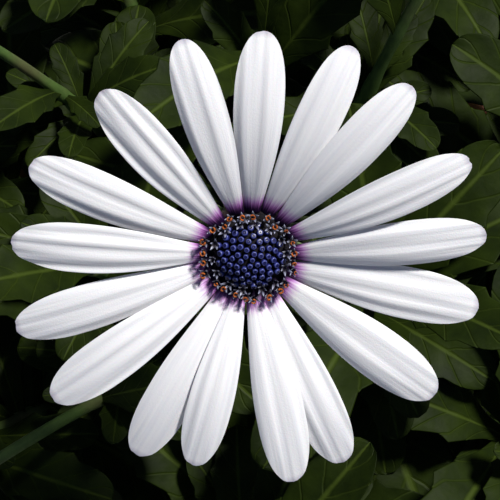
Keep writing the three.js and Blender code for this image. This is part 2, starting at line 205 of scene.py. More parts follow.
# %% Pieces from parts
def mesh_of(name, parts):
    """One mesh from several parts, in metres."""
    points = np.concatenate([part.points for part in parts]) * MM
    starts = np.cumsum([0] + [len(part.points) for part in parts[:-1]])
    corners = np.concatenate([
        np.concatenate([np.array(face) for face in part.faces]) + start for part, start in zip(parts, starts)
    ])
    sizes = np.concatenate([[len(face) for face in part.faces] for part in parts])
    uv = np.concatenate([part.uv for part in parts])
    mesh = bpy.data.meshes.new(name)
    mesh.vertices.add(len(points))
    mesh.vertices.foreach_set("co", points.ravel())
    mesh.loops.add(len(corners))
    mesh.loops.foreach_set("vertex_index", corners)
    mesh.polygons.add(len(sizes))
    mesh.polygons.foreach_set("loop_start", np.concatenate([[0], np.cumsum(sizes)[:-1]]))
    mesh.polygons.foreach_set("material_index", np.concatenate([part.tones for part in parts]))
    mesh.update(calc_edges=True)
    mesh.uv_layers.new(name="blade").data.foreach_set("uv", uv[corners].ravel())
    mesh.shade_smooth()
    return mesh


def add_piece(name, parts, finishes, slot, *nodes):
    """A piece made of parts, in the place of the solids named."""
    piece = bpy.data.objects.new(name, mesh_of(name, parts))
    bpy.context.scene.collection.objects.link(piece)
    for finish in finishes:
        piece.data.materials.append(finish)
    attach(piece, "root")
    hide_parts(*nodes)
    print(name, "has", len(piece.data.polygons), "faces")
    return piece


# %% [markdown]
# ## Blades, tubes and turned outlines
# A blade is a strip whose rib sets out from its root at a pitch and bends down evenly. Its half width,
# how its section is arched and its ripples are formulas of where a point lies along and across it. Most
# plant parts are blades. A tube follows a curve that lies in one upright plane, as the stems here do.
# Blades could be sculpted, but a formula lets all of them grow from a few sizes.

# %% Blades
EDGE_THINNING, TIP_THINNING = 0.98, 0.55


def blade_points(blade, along, across, face):
    """Points of a blade. face is 1 on the top, -1 on the underside and 0 between them."""
    slope = blade.pitch - blade.bend * along
    run = blade.length * (np.sin(blade.pitch) - np.sin(slope)) / blade.bend
    rise = blade.length * (np.cos(slope) - np.cos(blade.pitch)) / blade.bend
    half = blade.half(along)
    flat = across * half
    raised = blade.arch(along, across) * half + blade.ripple(along, across)
    thick = blade.thick * np.sqrt(1 - across**2 * EDGE_THINNING) * (1 - TIP_THINNING * along)
    raised = raised + face * thick / 2
    roll = blade.roll + blade.twist * along
    side = flat * np.cos(roll) - raised * np.sin(roll) + 4 * blade.sway * along * (1 - along)
    lift = flat * np.sin(roll) + raised * np.cos(roll)
    out = run - lift * np.sin(slope)
    x = blade.root[0] + out * math.cos(blade.heading) - side * math.sin(blade.heading)
    y = blade.root[1] + out * math.sin(blade.heading) + side * math.cos(blade.heading)
    return np.stack([x, y, blade.root[2] + rise + lift * np.cos(slope)], axis=-1)


def a_blade(root, heading, pitch, bend, length, half, thick, **more):
    """A blade's values, in millimetres and radians, with a plain flat section unless more says otherwise."""
    plain = {
        "roll": 0, "twist": 0, "sway": 0,
        "arch": lambda along, across: 0 * across, "ripple": lambda along, across: 0 * across,
        "reach": lambda across: 1 + 0 * across,
    }
    facts = {"root": root, "heading": heading, "pitch": pitch, "bend": bend, "length": length}
    return SimpleNamespace(**{**plain, **facts, "half": half, "thick": thick, **more})


def blade_skin(blade, rows, columns, tone=0):
    """The blade's closed skin: the top has the first finish from tone on, and the underside the next."""
    top = np.cos(np.linspace(0, math.pi, columns + 1))
    across = np.concatenate([top, top[-2:0:-1]])
    face = np.where(np.arange(len(across)) <= columns, 1, -1)
    along = rows[:, None] * blade.reach(across)[None, :]
    wide = np.broadcast_to(across, along.shape)
    uv = np.stack([wide * 0.5 + 0.5, along], axis=-1)
    tones = np.where(np.arange(len(across)) < columns, tone, tone + 1)
    return skin(blade_points(blade, along, wide, face), uv, tones, flat=True)


trial_blade = a_blade((0, 0, 0), 0, math.radians(45), math.radians(60), 30, lambda along: 3 + 0 * along, 0.5)
print("tip of a blade 30 mm long, mm:", blade_points(trial_blade, 1.0, 0.0, 0).round(1))

# %% Tubes
def tube(path, radii, sides, ridges=0, ridge=0.0):
    """A round skin along a path of points that lies in one upright plane."""
    path = np.asarray(path, float)
    tangent = np.gradient(path, axis=0)
    tangent /= np.linalg.norm(tangent, axis=1, keepdims=True)
    side = np.cross((0, 0, 1), path[-1] - path[0])
    side = side / np.linalg.norm(side) if np.linalg.norm(side) > 1e-6 else np.array([1.0, 0, 0])
    normal = np.cross(tangent, side)
    angle = 2 * math.pi * np.arange(sides) / sides
    swell = (1 + ridge * np.cos(ridges * angle))[None, :, None] * np.asarray(radii, float)[:, None, None]
    spoke = np.cos(angle)[None, :, None] * side + np.sin(angle)[None, :, None] * normal[:, None, :]
    along = np.linspace(0, 1, len(path))[:, None]
    uv = np.stack(np.broadcast_arrays(0.5, along + 0 * angle[None, :]), axis=-1)
    return skin(path[:, None, :] + swell * spoke, uv)


print("faces of a straight tube:", len(tube([(0, 0, 0), (0, 0, 1), (0, 0, 2)], [1, 1, 1], 8).faces))

# %% Turned outlines
def turned(outline, sides, lobes=0, lobe=0.0):
    """An outline of (radius, height) turned round Z, with a lobed section if asked."""
    outline = np.asarray(outline, float)
    angle = 2 * math.pi * np.arange(sides) / sides
    radius = outline[:, 0][:, None] * (1 + lobe * np.cos(lobes * angle))[None, :]
    height = np.broadcast_to(outline[:, 1][:, None], radius.shape)
    along = np.broadcast_to(np.linspace(0, 1, len(outline))[:, None], radius.shape)
    rings = np.stack([radius * np.cos(angle), radius * np.sin(angle), height], axis=-1)
    return skin(rings, np.stack([0 * along + 0.5, along], axis=-1))


def rounded(corners, radius, steps=4):
    """An outline's corners, each eased by a short curve no longer than half its sides."""
    corners = [np.array(c, float) for c in corners]
    points = [corners[0]]
    for before, corner, after in zip(corners, corners[1:], corners[2:]):
        to_before, to_after = before - corner, after - corner
        room = min(radius, np.linalg.norm(to_before) / 2, np.linalg.norm(to_after) / 2)
        start = corner + to_before / np.linalg.norm(to_before) * room
        end = corner + to_after / np.linalg.norm(to_after) * room
        for t in np.linspace(0, 1, steps):
            points.append((1 - t) ** 2 * start + 2 * t * (1 - t) * corner + t**2 * end)
    return points + [corners[-1]]


print("points of an outline with one eased corner:", len(rounded([(1, 0), (1, 1), (0, 1)], 0.2)))

# %% [markdown]
# ## Finishes
# Each finish starts from what the real surface is. Colours are sRGB codes turned to the linear values
# that a shader takes. A pattern's scale comes from its real size in millimetres: a noise node's scale is
# the number of its grains in a metre. Nodes name some sockets by number: Map Range leads the range 1 to 2
# to the range 3 to 4, and Mix lays colour 7 over colour 6 by the share in 0. Painted images could do this
# too, but nodes need no unwrapping and hold at any distance.

# %% Colours
def paint(code):
    """The linear colour of an sRGB code such as 8a9b4c."""
    shares = [int(code[i : i + 2], 16) / 255 for i in (0, 2, 4)]
    return (*[c / 12.92 if c <= 0.04045 else ((c + 0.055) / 1.055) ** 2.4 for c in shares], 1)


print("paint turns the grey 808080 to", round(paint("808080")[0], 3))

# %% Nodes
COLOURS = {"out": 2, "data_type": "RGBA"}  # a Mix node's settings where it mixes colours


def per_metre(grain):
    """A noise node's scale for grains of that many millimetres."""
    return 1 / (grain * MM)


def add_node(finish, kind, inputs=None, out=0, **settings):
    """Adds one node with its settings. An input is a value or another node's output; one output is given."""
    made = finish.node_tree.nodes.new("ShaderNode" + kind)
    for key, value in settings.items():
        setattr(made, key, value)
    for key, value in (inputs or {}).items():
        if isinstance(value, bpy.types.NodeSocket):
            finish.node_tree.links.new(value, made.inputs[key])
        else:
            made.inputs[key].default_value = value
    return made.outputs[out]


print("noise scale for grains of half a millimetre:", per_metre(0.5))

# %% Finishes and their shaders
def new_finish(name, **values):
    """A material with constant values set on its shader's own sockets."""
    finish = bpy.data.materials.new(name)
    finish.use_nodes = True
    shader = finish.node_tree.nodes["Principled BSDF"]
    for key, value in values.items():
        shader.inputs[key.replace("_", " ")].default_value = value
    print("finish:", name)
    return finish


def wire(finish, **sockets):
    """Leads outputs to the shader's sockets."""
    shader = finish.node_tree.nodes["Principled BSDF"]
    for key, socket in sockets.items():
        finish.node_tree.links.new(socket, shader.inputs[key.replace("_", " ")])


# %% [markdown]
# ## Terracotta
# A plain flower pot is thrown or pressed from red clay, left unglazed and fired. That gives the eye a
# matte, slightly gritty skin with faint rings from the throwing, warmer and cooler patches from the kiln,
# and a pale bloom of lime where water has dried, most of it low down. Noise in the object's own space
# runs round the pot without a seam, which an unwrapped image wouldn't.

# %% Pot sizes
POT = {
    "height": 100, "rim": 60, "band": 22, "below_band": 54.5, "foot": 40,
    "floor": 7, "mouth": 54.3, "well": 36,
}
print("pot, mm: height", POT["height"], "across the rim", 2 * POT["rim"])

# %% Terracotta, unglazed and fired
THROWING_RINGS = 2.4
CLAY_GRIT = 0.5
KILN_PATCH = 26
LIME_PATCH = 9


def terracotta():
    clay = new_finish("terracotta unglazed", Roughness=0.86, IOR=1.5)
    place = add_node(clay, "TexCoord", out=3)
    patch = add_node(clay, "TexNoise", {"Vector": place, "Scale": per_metre(KILN_PATCH), "Detail": 4.0})
    grit = add_node(clay, "TexNoise", {"Vector": place, "Scale": per_metre(CLAY_GRIT), "Detail": 2.0})
    fleck = add_node(clay, "MapRange", {0: grit, 1: 0.56, 2: 0.72, 3: 0.0, 4: 0.5})
    lime = add_node(clay, "TexNoise", {"Vector": place, "Scale": per_metre(LIME_PATCH), "Detail": 6.0})
    height = add_node(clay, "SeparateXYZ", {0: place}, 2)
    low = add_node(clay, "MapRange", {0: height, 1: 0.0, 2: POT["height"] * MM, 3: 0.62, 4: 0.3})
    lime = add_node(clay, "Math", {0: lime, 1: low}, operation="MULTIPLY")
    lime = add_node(clay, "MapRange", {0: lime, 1: 0.2, 2: 0.42, 3: 0.0, 4: 0.55})
    body = add_node(clay, "Mix", {0: patch, 6: paint("9e4f30"), 7: paint("c47a52")}, **COLOURS)
    for share, colour in [(fleck, "7c3a22"), (lime, "dcc3ad")]:
        body = add_node(clay, "Mix", {0: share, 6: body, 7: paint(colour)}, **COLOURS)
    ring = add_node(clay, "Math", {0: height, 1: 2 * math.pi / (THROWING_RINGS * MM)}, operation="MULTIPLY")
    ring = add_node(clay, "Math", {0: ring}, operation="SINE")
    relief = add_node(clay, "Math", {0: ring, 1: 0.12, 2: grit}, operation="MULTIPLY_ADD")
    bump = add_node(clay, "Bump", {"Strength": 0.35, "Distance": 0.3 * MM, "Height": relief})
    wire(clay, Base_Color=body, Normal=bump)
    return clay


# %% [markdown]
# ## The pot
# The pot is round, so its outline is turned about its axis, with corners as soft as clay leaves them. A
# Screw modifier could turn it as well, but rings from arrays are used throughout here. A Boolean modifier
# cuts the three drain holes, and it is applied at once, so that the piece is a plain mesh.

# %% Pot
DRAIN = {"radius": 4, "from": 22, "count": 3}
POT_SIDES, DRAIN_SIDES = 128, 32
POT_EDGE, POT_EDGE_STEPS = 2.2, 6


def pot_outline():
    top, rim, mouth, floor = POT["height"], POT["rim"], POT["mouth"], POT["floor"]
    corners = [
        (AXIS, 0), (POT["foot"] - 0.4, 0), (POT["below_band"], top - POT["band"] - 0.5),
        (rim - 2, top - POT["band"]), (rim, top - 0.2), (mouth, top),
        (POT["well"] + 0.2, floor + 1), (AXIS, floor),
    ]
    return rounded(corners, POT_EDGE, POT_EDGE_STEPS)


def make_pot():
    pot = add_piece("clay_pot", [turned(pot_outline(), POT_SIDES)], [terracotta()], "clay", "pot")
    plug = [(AXIS, -1), (DRAIN["radius"], -1), (DRAIN["radius"], POT["floor"] + 1), (AXIS, POT["floor"] + 1)]
    turn = 2 * math.pi / DRAIN["count"]
    places = [polar(DRAIN["from"], turn * i) for i in range(DRAIN["count"])]
    plugs = [moved(turned(plug, DRAIN_SIDES), np.eye(3), place) for place in places]
    cutter = bpy.data.objects.new("drain_plugs", mesh_of("drain_plugs", plugs))
    bpy.context.scene.collection.objects.link(cutter)
    cut = pot.modifiers.new("drain holes", "BOOLEAN")
    cut.object = cutter
    cut.solver = "EXACT"
    bpy.context.view_layer.update()
    done = bpy.data.meshes.new_from_object(pot.evaluated_get(bpy.context.evaluated_depsgraph_get()))
    pot.modifiers.clear()
    pot.data = done
    bpy.data.objects.remove(cutter)
    print("pot faces after the holes:", len(done.polygons))


make_pot()

# %% [markdown]
# ## The potting mix
# The pot is filled with a peaty mix: dark crumbs, a few bits of bark and white grains of perlite that
# keep it open. Its surface is a low heap, so a fine net of points follows the heap's formula with noise
# added, and the larger crumbs lie on it as small rough balls. A heap of loose grains all through could be
# made as well, but only the surface shows. The grains and a rough relief give the eye a dull, dark
# surface with bright specks.

# %% Peaty mix, bark and perlite
GRAIN = {"peat": 1.4, "bark": 0.8, "perlite": 0.5}


def grainy(name, dark, light, grain, roughness=0.95):
    """A loose material: two tones in grains and a rough relief."""
    finish = new_finish(name, Roughness=roughness, IOR=1.45)
    place = add_node(finish, "TexCoord", out=3)
    tone = add_node(finish, "TexNoise", {"Vector": place, "Scale": per_metre(grain), "Detail": 5.0})
    tone = add_node(finish, "MapRange", {0: tone, 1: 0.35, 2: 0.65})
    colour = add_node(finish, "Mix", {0: tone, 6: paint(dark), 7: paint(light)}, **COLOURS)
    bump = add_node(finish, "Bump", {"Strength": 0.8, "Distance": 0.4 * grain * MM, "Height": tone})
    wire(finish, Base_Color=colour, Normal=bump)
    return finish


# %% The heap's height
SOIL = {"top": 87, "dome": 3, "lump": 0.8}
SOIL_GAP = 0.6


def well_radius(z):
    return mix(POT["well"], POT["mouth"], (z - POT["floor"] - 3) / (POT["height"] - POT["floor"] - 5.5))


SOIL_EDGE = well_radius(SOIL["top"]) - SOIL_GAP


def soil_height(x, y):
    """The heap's height: a low dome, soft lumps, and crumbs of about 3 and 1 mm."""
    share = 1 - (x * x + y * y) / SOIL_EDGE**2
    height = SOIL["top"] + SOIL["dome"] * share + SOIL["lump"] * math.sin(x / 3.1 + 1) * math.cos(y / 3.7)
    return height + 1.1 * noise.noise(Vector((x, y, 0)) / 2.6) + 0.6 * noise.noise(Vector((x, y, 9)) / 1.1)


print("soil, mm: radius", round(SOIL_EDGE, 1), "height in the middle", round(soil_height(0, 0), 1))

# %% Crumbs
CRUMBS = {"count": 420, "small": 0.45, "large": 1.7, "within": 49, "perlite": 0.2, "bark": 0.3}
CRUMB_RINGS, CRUMB_SIDES = 6, 7


def crumb(centre, size, chance, tone):
    """A rough little ball, squashed, as part of a larger mesh."""
    angles = np.linspace(0.05, math.pi - 0.05, CRUMB_RINGS)
    ball = turned([(math.sin(a), math.cos(math.pi - a)) for a in angles], CRUMB_SIDES)
    rough = np.array([1 + 0.35 * noise.noise(Vector(p) * 1.7 + Vector(centre)) for p in ball.points])
    stretch = np.diag([mix(low, high, next(chance)) for low, high in [(0.8, 1.3), (0.8, 1.2), (0.55, 0.9)]])
    ball.points = ball.points * rough[:, None] @ stretch * size
    ball.tones[:] = tone
    return moved(ball, turn_about("Z", TURN * next(chance)), centre)


def crumbs(chance):
    """Crumbs all over the heap, most of them small, in the tones of peat, bark and perlite."""
    parts = []
    for _ in range(CRUMBS["count"]):
        radius, angle = CRUMBS["within"] * math.sqrt(next(chance)), 2 * math.pi * next(chance)
        size = mix(CRUMBS["small"], CRUMBS["large"], next(chance) ** 2.5)
        kind = next(chance)
        tone = 2 if kind < CRUMBS["perlite"] else 1 if kind < CRUMBS["perlite"] + CRUMBS["bark"] else 0
        x, y, _ = polar(radius, angle)
        parts.append(crumb((x, y, soil_height(x, y) + 0.25 * size), size, chance, tone))
    return parts


# %% Potting mix
SOIL_RINGS, SOIL_SIDES = 56, 150
SOIL_SEED = 11


def make_soil():
    shares = np.linspace(1, 0, SOIL_RINGS)
    side = [(POT["well"] - 4.2, POT["floor"] + 0.3), (POT["well"] - SOIL_GAP, POT["floor"] + 3)]
    outline = [(AXIS, POT["floor"] + 0.3), *side, *[(max(AXIS, SOIL_EDGE * s), SOIL["top"]) for s in shares]]
    heap = turned(outline, SOIL_SIDES)
    top = heap.points[:, 2] > SOIL["top"] - 0.01
    heap.points[top, 2] = [soil_height(x, y) for x, y in heap.points[top, :2]]
    parts = [heap, *crumbs(draws(SOIL_SEED))]
    peat = grainy("peaty potting mix damp", "120c08", "38281b", GRAIN["peat"])
    bark = grainy("composted bark", "3a2414", "6d4a2c", GRAIN["bark"])
    perlite = grainy("perlite expanded", "b9b4a8", "e8e5dc", GRAIN["perlite"], 0.8)
    add_piece("potting_mix", parts, [peat, bark, perlite], "soil", "soil")


make_soil()

# %% [markdown]
# ## Stems and where the leaves grow
# Ten leafy shoots stand in two rings, the bloom's stalk rises in the middle, and three stalks carry buds.
# The leaves wind up each stem by the golden angle. A leaf is tried with a little more turn and tilt each
# time until it meets no leaf or stem that is there already, which is how leaves seem to make room for
# each other. Blender can scatter copies over a surface, but those cross each other, and the solids have
# these very leaves.

# %% Stem sizes
STEM_DEPTH = 12
SHOOT_RINGS = [
    {"count": 3, "at": math.radians(85), "foot": 17, "tip": 29, "top": 160},
    {"count": 7, "at": math.radians(64), "foot": 36, "tip": 69, "top": 143},
]
SHOOT_UPRIGHT = 0.6
SHOOT_STEM, BLOOM_STALK, BUD_STALK = 1.8, 1.5, 1.2
CUP_SOCKET = -3.9
BLOOM_NECK = 48
BUDS = [
    {"foot": (-4, -14), "pull": 142, "tip": (-52, -57, 181), "open": True},
    {"foot": (13, 12), "pull": 160, "tip": (40, 46, 194), "open": True},
    {"foot": (-17, 16), "pull": 150, "tip": (-53, 25, 183), "open": False},
]
ON_SHOOT = {"leaves": 9, "size": 1, "low": 0.3, "top": 0.985}
ON_STALK = {"leaves": 3, "size": 0.7, "low": 0.22, "top": 0.66}
BLOOM_STALK_TURN = 0.4  # which way the first leaf of the bloom's stalk points
print("shoots:", sum(ring["count"] for ring in SHOOT_RINGS), "buds:", len(BUDS))

# %% Stem curves
def bezier(points, t):
    """A point of the curve, of any degree, that the points pull on."""
    points = [np.array(p, float) for p in points]
    while len(points) > 1:
        points = [a + (b - a) * t for a, b in zip(points, points[1:])]
    return points[0]


def a_stem(kind, row, pulls, radius, turn):
    """A stem's values; row says how its leaves sit, and turn where the first of them points."""
    return SimpleNamespace(kind=kind, row=row, pulls=pulls, radius=radius, turn=turn, leaves=[])


def stem_list():
    ground = SOIL["top"] - STEM_DEPTH
    stems = []
    for ring in SHOOT_RINGS:
        for i in range(ring["count"]):
            angle = ring["at"] + 2 * math.pi * i / ring["count"]
            pull = mix(SOIL["top"], ring["top"], SHOOT_UPRIGHT)
            pulls = [polar(ring["foot"], angle, ground), polar(ring["foot"], angle, pull)]
            pulls.append(polar(ring["tip"], angle, ring["top"]))
            stems.append(a_stem("shoot", ON_SHOOT, pulls, SHOOT_STEM, angle))
    axis = np.array([0, -math.sin(BLOOM_LEAN), math.cos(BLOOM_LEAN)])
    pulls = [(0, 4, ground), (0, 5, 130), BLOOM - BLOOM_NECK * axis, BLOOM + (CUP_SOCKET - 0.3) * axis]
    stems.append(a_stem("stalk", ON_STALK, pulls, BLOOM_STALK, BLOOM_STALK_TURN))
    for i, bud in enumerate(BUDS):
        pulls = [(*bud["foot"], ground), (*bud["foot"], bud["pull"]), bud["tip"]]
        stems.append(a_stem("bud", ON_STALK, pulls, BUD_STALK, 2 * i))
    return stems


def stems_of(kind):
    return [stem for stem in stems if stem.kind == kind]


stems = stem_list()
print("stems:", len(stems), "with buds:", len(stems_of("bud")))

# %% Leaf sizes and outline
LEAF_EDGE = np.array([(0, 0.18), (0.22, 0.38), (0.47, 0.97), (0.54, 0.8), (0.7, 1), (0.77, 0.77), (1, 0.24)])
LEAF = {"long": 55, "short": 30, "slim": 0.37, "fold": 0.28}
LEAF_PITCH = {"low": 22, "top": 66}
LEAF_BEND = {"low": 58, "top": 44}
TRIES = {"most": 14, "turn": 0.35, "turn_most": 8, "tilt": 10, "tilt_more": 5, "shrink": 0.03}
CLEAR = {"leaves": 4.6, "same_stem": 2.4, "stems": 5, "pot": 4}
LEAF_SEED = 1


def plain_leaf(stem, up, heading, tilt, trim):
    """The leaf's rib and rough outline at a height on its stem, 0 low and 1 at the top."""
    length = mix(LEAF["long"], LEAF["short"], up**2) * stem.row["size"] * trim
    width = length * LEAF["slim"]
    return a_blade(
        root=bezier(stem.pulls, mix(stem.row["low"], stem.row["top"], up)),
        heading=heading,
        pitch=math.radians(mix(LEAF_PITCH["low"], LEAF_PITCH["top"], up**1.6) + tilt),
        bend=math.radians(mix(LEAF_BEND["low"], LEAF_BEND["top"], up)),
        length=length,
        half=lambda along: width / 2 * np.interp(along, LEAF_EDGE[:, 0], LEAF_EDGE[:, 1]),
        thick=0.0,
        arch=lambda along, across: LEAF["fold"] * np.abs(across),
        width=width,
    )


print("share of the leaf at each tooth:", LEAF_EDGE[:, 0])

# %% How near leaves come
SAMPLES_ALONG = np.arange(2, 11) / 10
SAMPLES_ACROSS = [-0.95, -0.5, 0, 0.5, 0.95]


def samples_of(blade):
    """Points of a leaf that stand for it where room is sought."""
    along, across = np.meshgrid(SAMPLES_ALONG, SAMPLES_ACROSS, indexing="ij")
    return blade_points(blade, along, across, 0).reshape(-1, 3)


def clear_of_pot(points):
    radius, z = np.hypot(points[:, 0], points[:, 1]), points[:, 2]
    inside = radius < POT["mouth"] - CLEAR["pot"]
    over_soil = z > SOIL["top"] + SOIL["dome"] + CLEAR["pot"]
    over_rim = z > POT["height"] + CLEAR["pot"]
    beside = (radius > POT["rim"] + CLEAR["pot"]) & (z > POT["height"] / 2)
    return np.all(np.where(inside, over_soil, over_rim | beside))


def nearest(points, others):
    """How near two sets of points come."""
    if not len(others):
        return math.inf
    return np.sqrt(((points[:, None, :] - others[None, :, :]) ** 2).sum(-1).min())


print("points that stand for a leaf:", len(samples_of(plain_leaf(stems[0], 0, 0, 0, 1))))

# %% Room for leaves
STEM_SAMPLES = 48


class Room:
    """What stands already: points along each stem and on each leaf, with the stem that they belong to."""

    def __init__(self, stems):
        steps = [i / STEM_SAMPLES for i in range(STEM_SAMPLES + 1)]
        self.stems = [np.array([bezier(stem.pulls, step) for step in steps]) for stem in stems]
        self.leaves = [np.empty((0, 3)) for _ in stems]

    def is_clear(self, points, owner, clear):
        others = [i for i in range(len(self.stems)) if i != owner]
        return (
            clear_of_pot(points)
            and all(nearest(points, self.stems[i]) > clear["stems"] for i in others)
            and nearest(points, self.leaves[owner]) > clear["same_stem"]
            and all(nearest(points, self.leaves[i]) > clear["leaves"] for i in others)
        )

    def keep(self, points, owner):
        self.leaves[owner] = np.concatenate([self.leaves[owner], points])


room = Room(stems)
print("stems that take up room:", len(room.stems))

# %% Leaves, from the top of each stem down
def place_leaves(stems, room):
    chance = draws(LEAF_SEED)
    for step in range(ON_SHOOT["leaves"]):
        for owner, stem in enumerate(stems):
            if step >= stem.row["leaves"]:
                continue
            for attempt in range(TRIES["most"]):
                turn = (next(chance) - 0.5) * min(attempt, TRIES["turn_most"]) * TRIES["turn"]
                tilt = (next(chance) - 0.5) * (TRIES["tilt"] + TRIES["tilt_more"] * attempt)
                up = 1 - step / (stem.row["leaves"] - 1)
                heading = stem.turn + GOLDEN_TURN * step + turn
                blade = plain_leaf(stem, up, heading, tilt, 1 - TRIES["shrink"] * attempt)
                points = samples_of(blade)
                if room.is_clear(points, owner, CLEAR):
                    stem.leaves.append(blade)
                    room.keep(points, owner)
                    break


place_leaves(stems, room)
print("leaves on each stem:", [len(stem.leaves) for stem in stems])

# %% [markdown]
# ## Small leaves in the gaps
# A bushy plant grows short side leaves from the same stems, which close the mound. They are added here
# only, inside the mound's outline, wherever a smaller leaf still finds room. Two of them stand in the
# widest gap, between two shoots at the back, where the draws seldom reach.

# %% Side leaves
SIDE = {"tries": 150, "small": 0.45, "large": 0.8, "tilt": 36, "within": 86, "below": 160, "seed": 5}
SIDE_CLEAR = {"leaves": 1.9, "same_stem": 1.2, "stems": 2.3}
GAP_LEAVES = [
    {"stem": 3, "up": 0.57, "heading": 340, "tilt": 0, "size": 0.9},
    {"stem": 3, "up": 0.86, "heading": 300, "tilt": -12, "size": 0.9},
]


def place_side_leaves(stems, room):
    chance = draws(SIDE["seed"])
    added = 0
    for leaf in GAP_LEAVES:
        stem, heading = stems[leaf["stem"]], math.radians(leaf["heading"])
        blade = plain_leaf(stem, leaf["up"], heading, leaf["tilt"], leaf["size"])
        if room.is_clear(samples_of(blade), leaf["stem"], SIDE_CLEAR):
            stem.leaves.append(blade)
            room.keep(samples_of(blade), leaf["stem"])
            added += 1
    for _ in range(SIDE["tries"]):
        for owner, stem in enumerate(stems):
            up, heading = next(chance), 2 * math.pi * next(chance)
            tilt = SIDE["tilt"] * (next(chance) - 0.5)
            blade = plain_leaf(stem, up, heading, tilt, mix(SIDE["small"], SIDE["large"], next(chance)))
            points = samples_of(blade)
            inside = np.hypot(points[:, 0], points[:, 1]).max() < SIDE["within"]
            low = points[:, 2].max() < SIDE["below"]
            if inside and low and room.is_clear(points, owner, SIDE_CLEAR):
                stem.leaves.append(blade)
                room.keep(points, owner)
                added += 1
    return added


print("side leaves:", place_side_leaves(stems, room))

# %% [markdown]
# ## The skin of leaves and green stems
# A cape marigold's leaf is a little fleshy: a satin, deep green top with a sunken pale rib and faint side
# veins, and a paler, duller underside. The top's greens are painted darker than the leaf's own, as
# painted shade over the whole mound. The finish reads where a point lies across and along the leaf, so
# the rib and veins follow every bend, which a pattern in space wouldn't. A stem is satin too, with fine
# ribs along it and a blush where the sun reaches it.

# %% Leaf skin, satin and veined
VEIN_PAIRS = 6
VEIN_SLANT = -2.4
LEAF_MOTTLE = 5


def leaf_skin(name, dark, light, rib_colour, roughness, relief):
    leaf = new_finish(name, Roughness=roughness, IOR=1.42, Specular_IOR_Level=0.1)
    place = add_node(leaf, "TexCoord", out=3)
    across = add_node(leaf, "SeparateXYZ", {0: add_node(leaf, "UVMap")})
    along = across.node.outputs[1]
    off = add_node(leaf, "MapRange", {0: across, 3: -1.0, 4: 1.0})
    off = add_node(leaf, "Math", {0: off}, operation="ABSOLUTE")
    rib = add_node(leaf, "MapRange", {0: off, 1: 0.03, 2: 0.1, 3: 1.0, 4: 0.0})
    wave = add_node(leaf, "Math", {0: along, 1: 2.0 * VEIN_PAIRS}, operation="MULTIPLY")
    wave = add_node(leaf, "Math", {0: off, 1: VEIN_SLANT, 2: wave}, operation="MULTIPLY_ADD")
    wave = add_node(leaf, "Math", {0: wave, 1: 1.0}, operation="PINGPONG")
    vein = add_node(leaf, "MapRange", {0: wave, 1: 0.0, 2: 0.14, 3: 1.0, 4: 0.0})
    mottle = add_node(leaf, "TexNoise", {"Vector": place, "Scale": per_metre(LEAF_MOTTLE), "Detail": 5.0})
    mottle = add_node(leaf, "MapRange", {0: mottle, 1: 0.3, 2: 0.7})
    body = add_node(leaf, "Mix", {0: mottle, 6: paint(dark), 7: paint(light)}, **COLOURS)
    for line, strength in [(vein, 0.3), (rib, 0.75)]:
        share = add_node(leaf, "Math", {0: line, 1: strength}, operation="MULTIPLY")
        body = add_node(leaf, "Mix", {0: share, 6: body, 7: paint(rib_colour)}, **COLOURS)
    lines = add_node(leaf, "Math", {0: rib, 1: vein}, operation="MAXIMUM")
    height = add_node(leaf, "Math", {0: lines, 1: relief, 2: mottle}, operation="MULTIPLY_ADD")
    bump = add_node(leaf, "Bump", {"Strength": 0.5, "Distance": 0.25 * MM, "Height": height})
    wire(leaf, Base_Color=body, Normal=bump)
    return leaf


# %% Green stem, ribbed
STEM_RIB = 1.1
STEM_BLUSH = 14


def stem_skin():
    stem = new_finish("green stem ribbed", Roughness=0.5, IOR=1.42)
    place = add_node(stem, "TexCoord", out=3)
    streak = add_node(stem, "Mapping", {0: place, 3: (1.0, 1.0, 0.12)})
    streak = add_node(stem, "TexNoise", {"Vector": streak, "Scale": per_metre(STEM_RIB), "Detail": 3.0})
    blush = add_node(stem, "TexNoise", {"Vector": place, "Scale": per_metre(STEM_BLUSH), "Detail": 2.0})
    blush = add_node(stem, "MapRange", {0: blush, 1: 0.5, 2: 0.72, 3: 0.0, 4: 0.5})
    body = add_node(stem, "Mix", {0: streak, 6: paint("2f471c"), 7: paint("566e35")}, **COLOURS)
    body = add_node(stem, "Mix", {0: blush, 6: body, 7: paint("5b3a3c")}, **COLOURS)
    bump = add_node(stem, "Bump", {"Strength": 0.4, "Distance": 0.2 * MM, "Height": streak})
    wire(stem, Base_Color=body, Normal=bump)
    return stem


# Painted shade: the top's two greens are darker than a cape marigold leaf's own green.
leaf_top = leaf_skin("leaf top satin green darkened as painted shade", "151f06", "232f08", "3d4b18", 0.55, -1.2)
leaf_under = leaf_skin("leaf underside matte", "2a4320", "3d5a2b", "5d7845", 0.62, 1.6)
green_stem = stem_skin()

# %% [markdown]
# ## Fine leaves on their stems
# The edge of a leaf has a few forward teeth, its halves are creased along the rib, its margin waves and
# it swells between the veins. Each placed leaf is drawn again with these, as terms of the blade's
# formulas. A modifier could ripple a flat leaf, but it wouldn't know where the veins run.

# %% Toothed edge
def toothed(along):
    """The half width's share along the leaf: a tooth swells slowly and drops fast, and the tip is round."""
    places, shares = LEAF_EDGE[:, 0], LEAF_EDGE[:, 1]
    cell = np.clip(np.searchsorted(places, along, side="right") - 1, 0, len(places) - 2)
    t = np.clip((along - places[cell]) / (places[cell + 1] - places[cell]), 0, 1)
    low, high = shares[cell], shares[cell + 1]
    tip = cell == len(places) - 2
    eased = np.where(high > low, t ** 1.15, np.sin(t * math.pi / 2))
    return np.where(tip, low * np.sqrt(np.maximum(0, 1 - t**2)) + 0.02, low + (high - low) * eased)


print("share of the half width at a quarter, half and three quarters:", toothed(np.array([0.25, 0.5, 0.75])))

# %% Fine leaves
LEAF_THICK = 0.55
LEAF_ROWS, LEAF_COLUMNS = 26, 10
EDGE_WAVE = {"high": 0.035, "count": 1.7}
VEIN_SWELL = {"high": 0.012, "slant": 1.2}


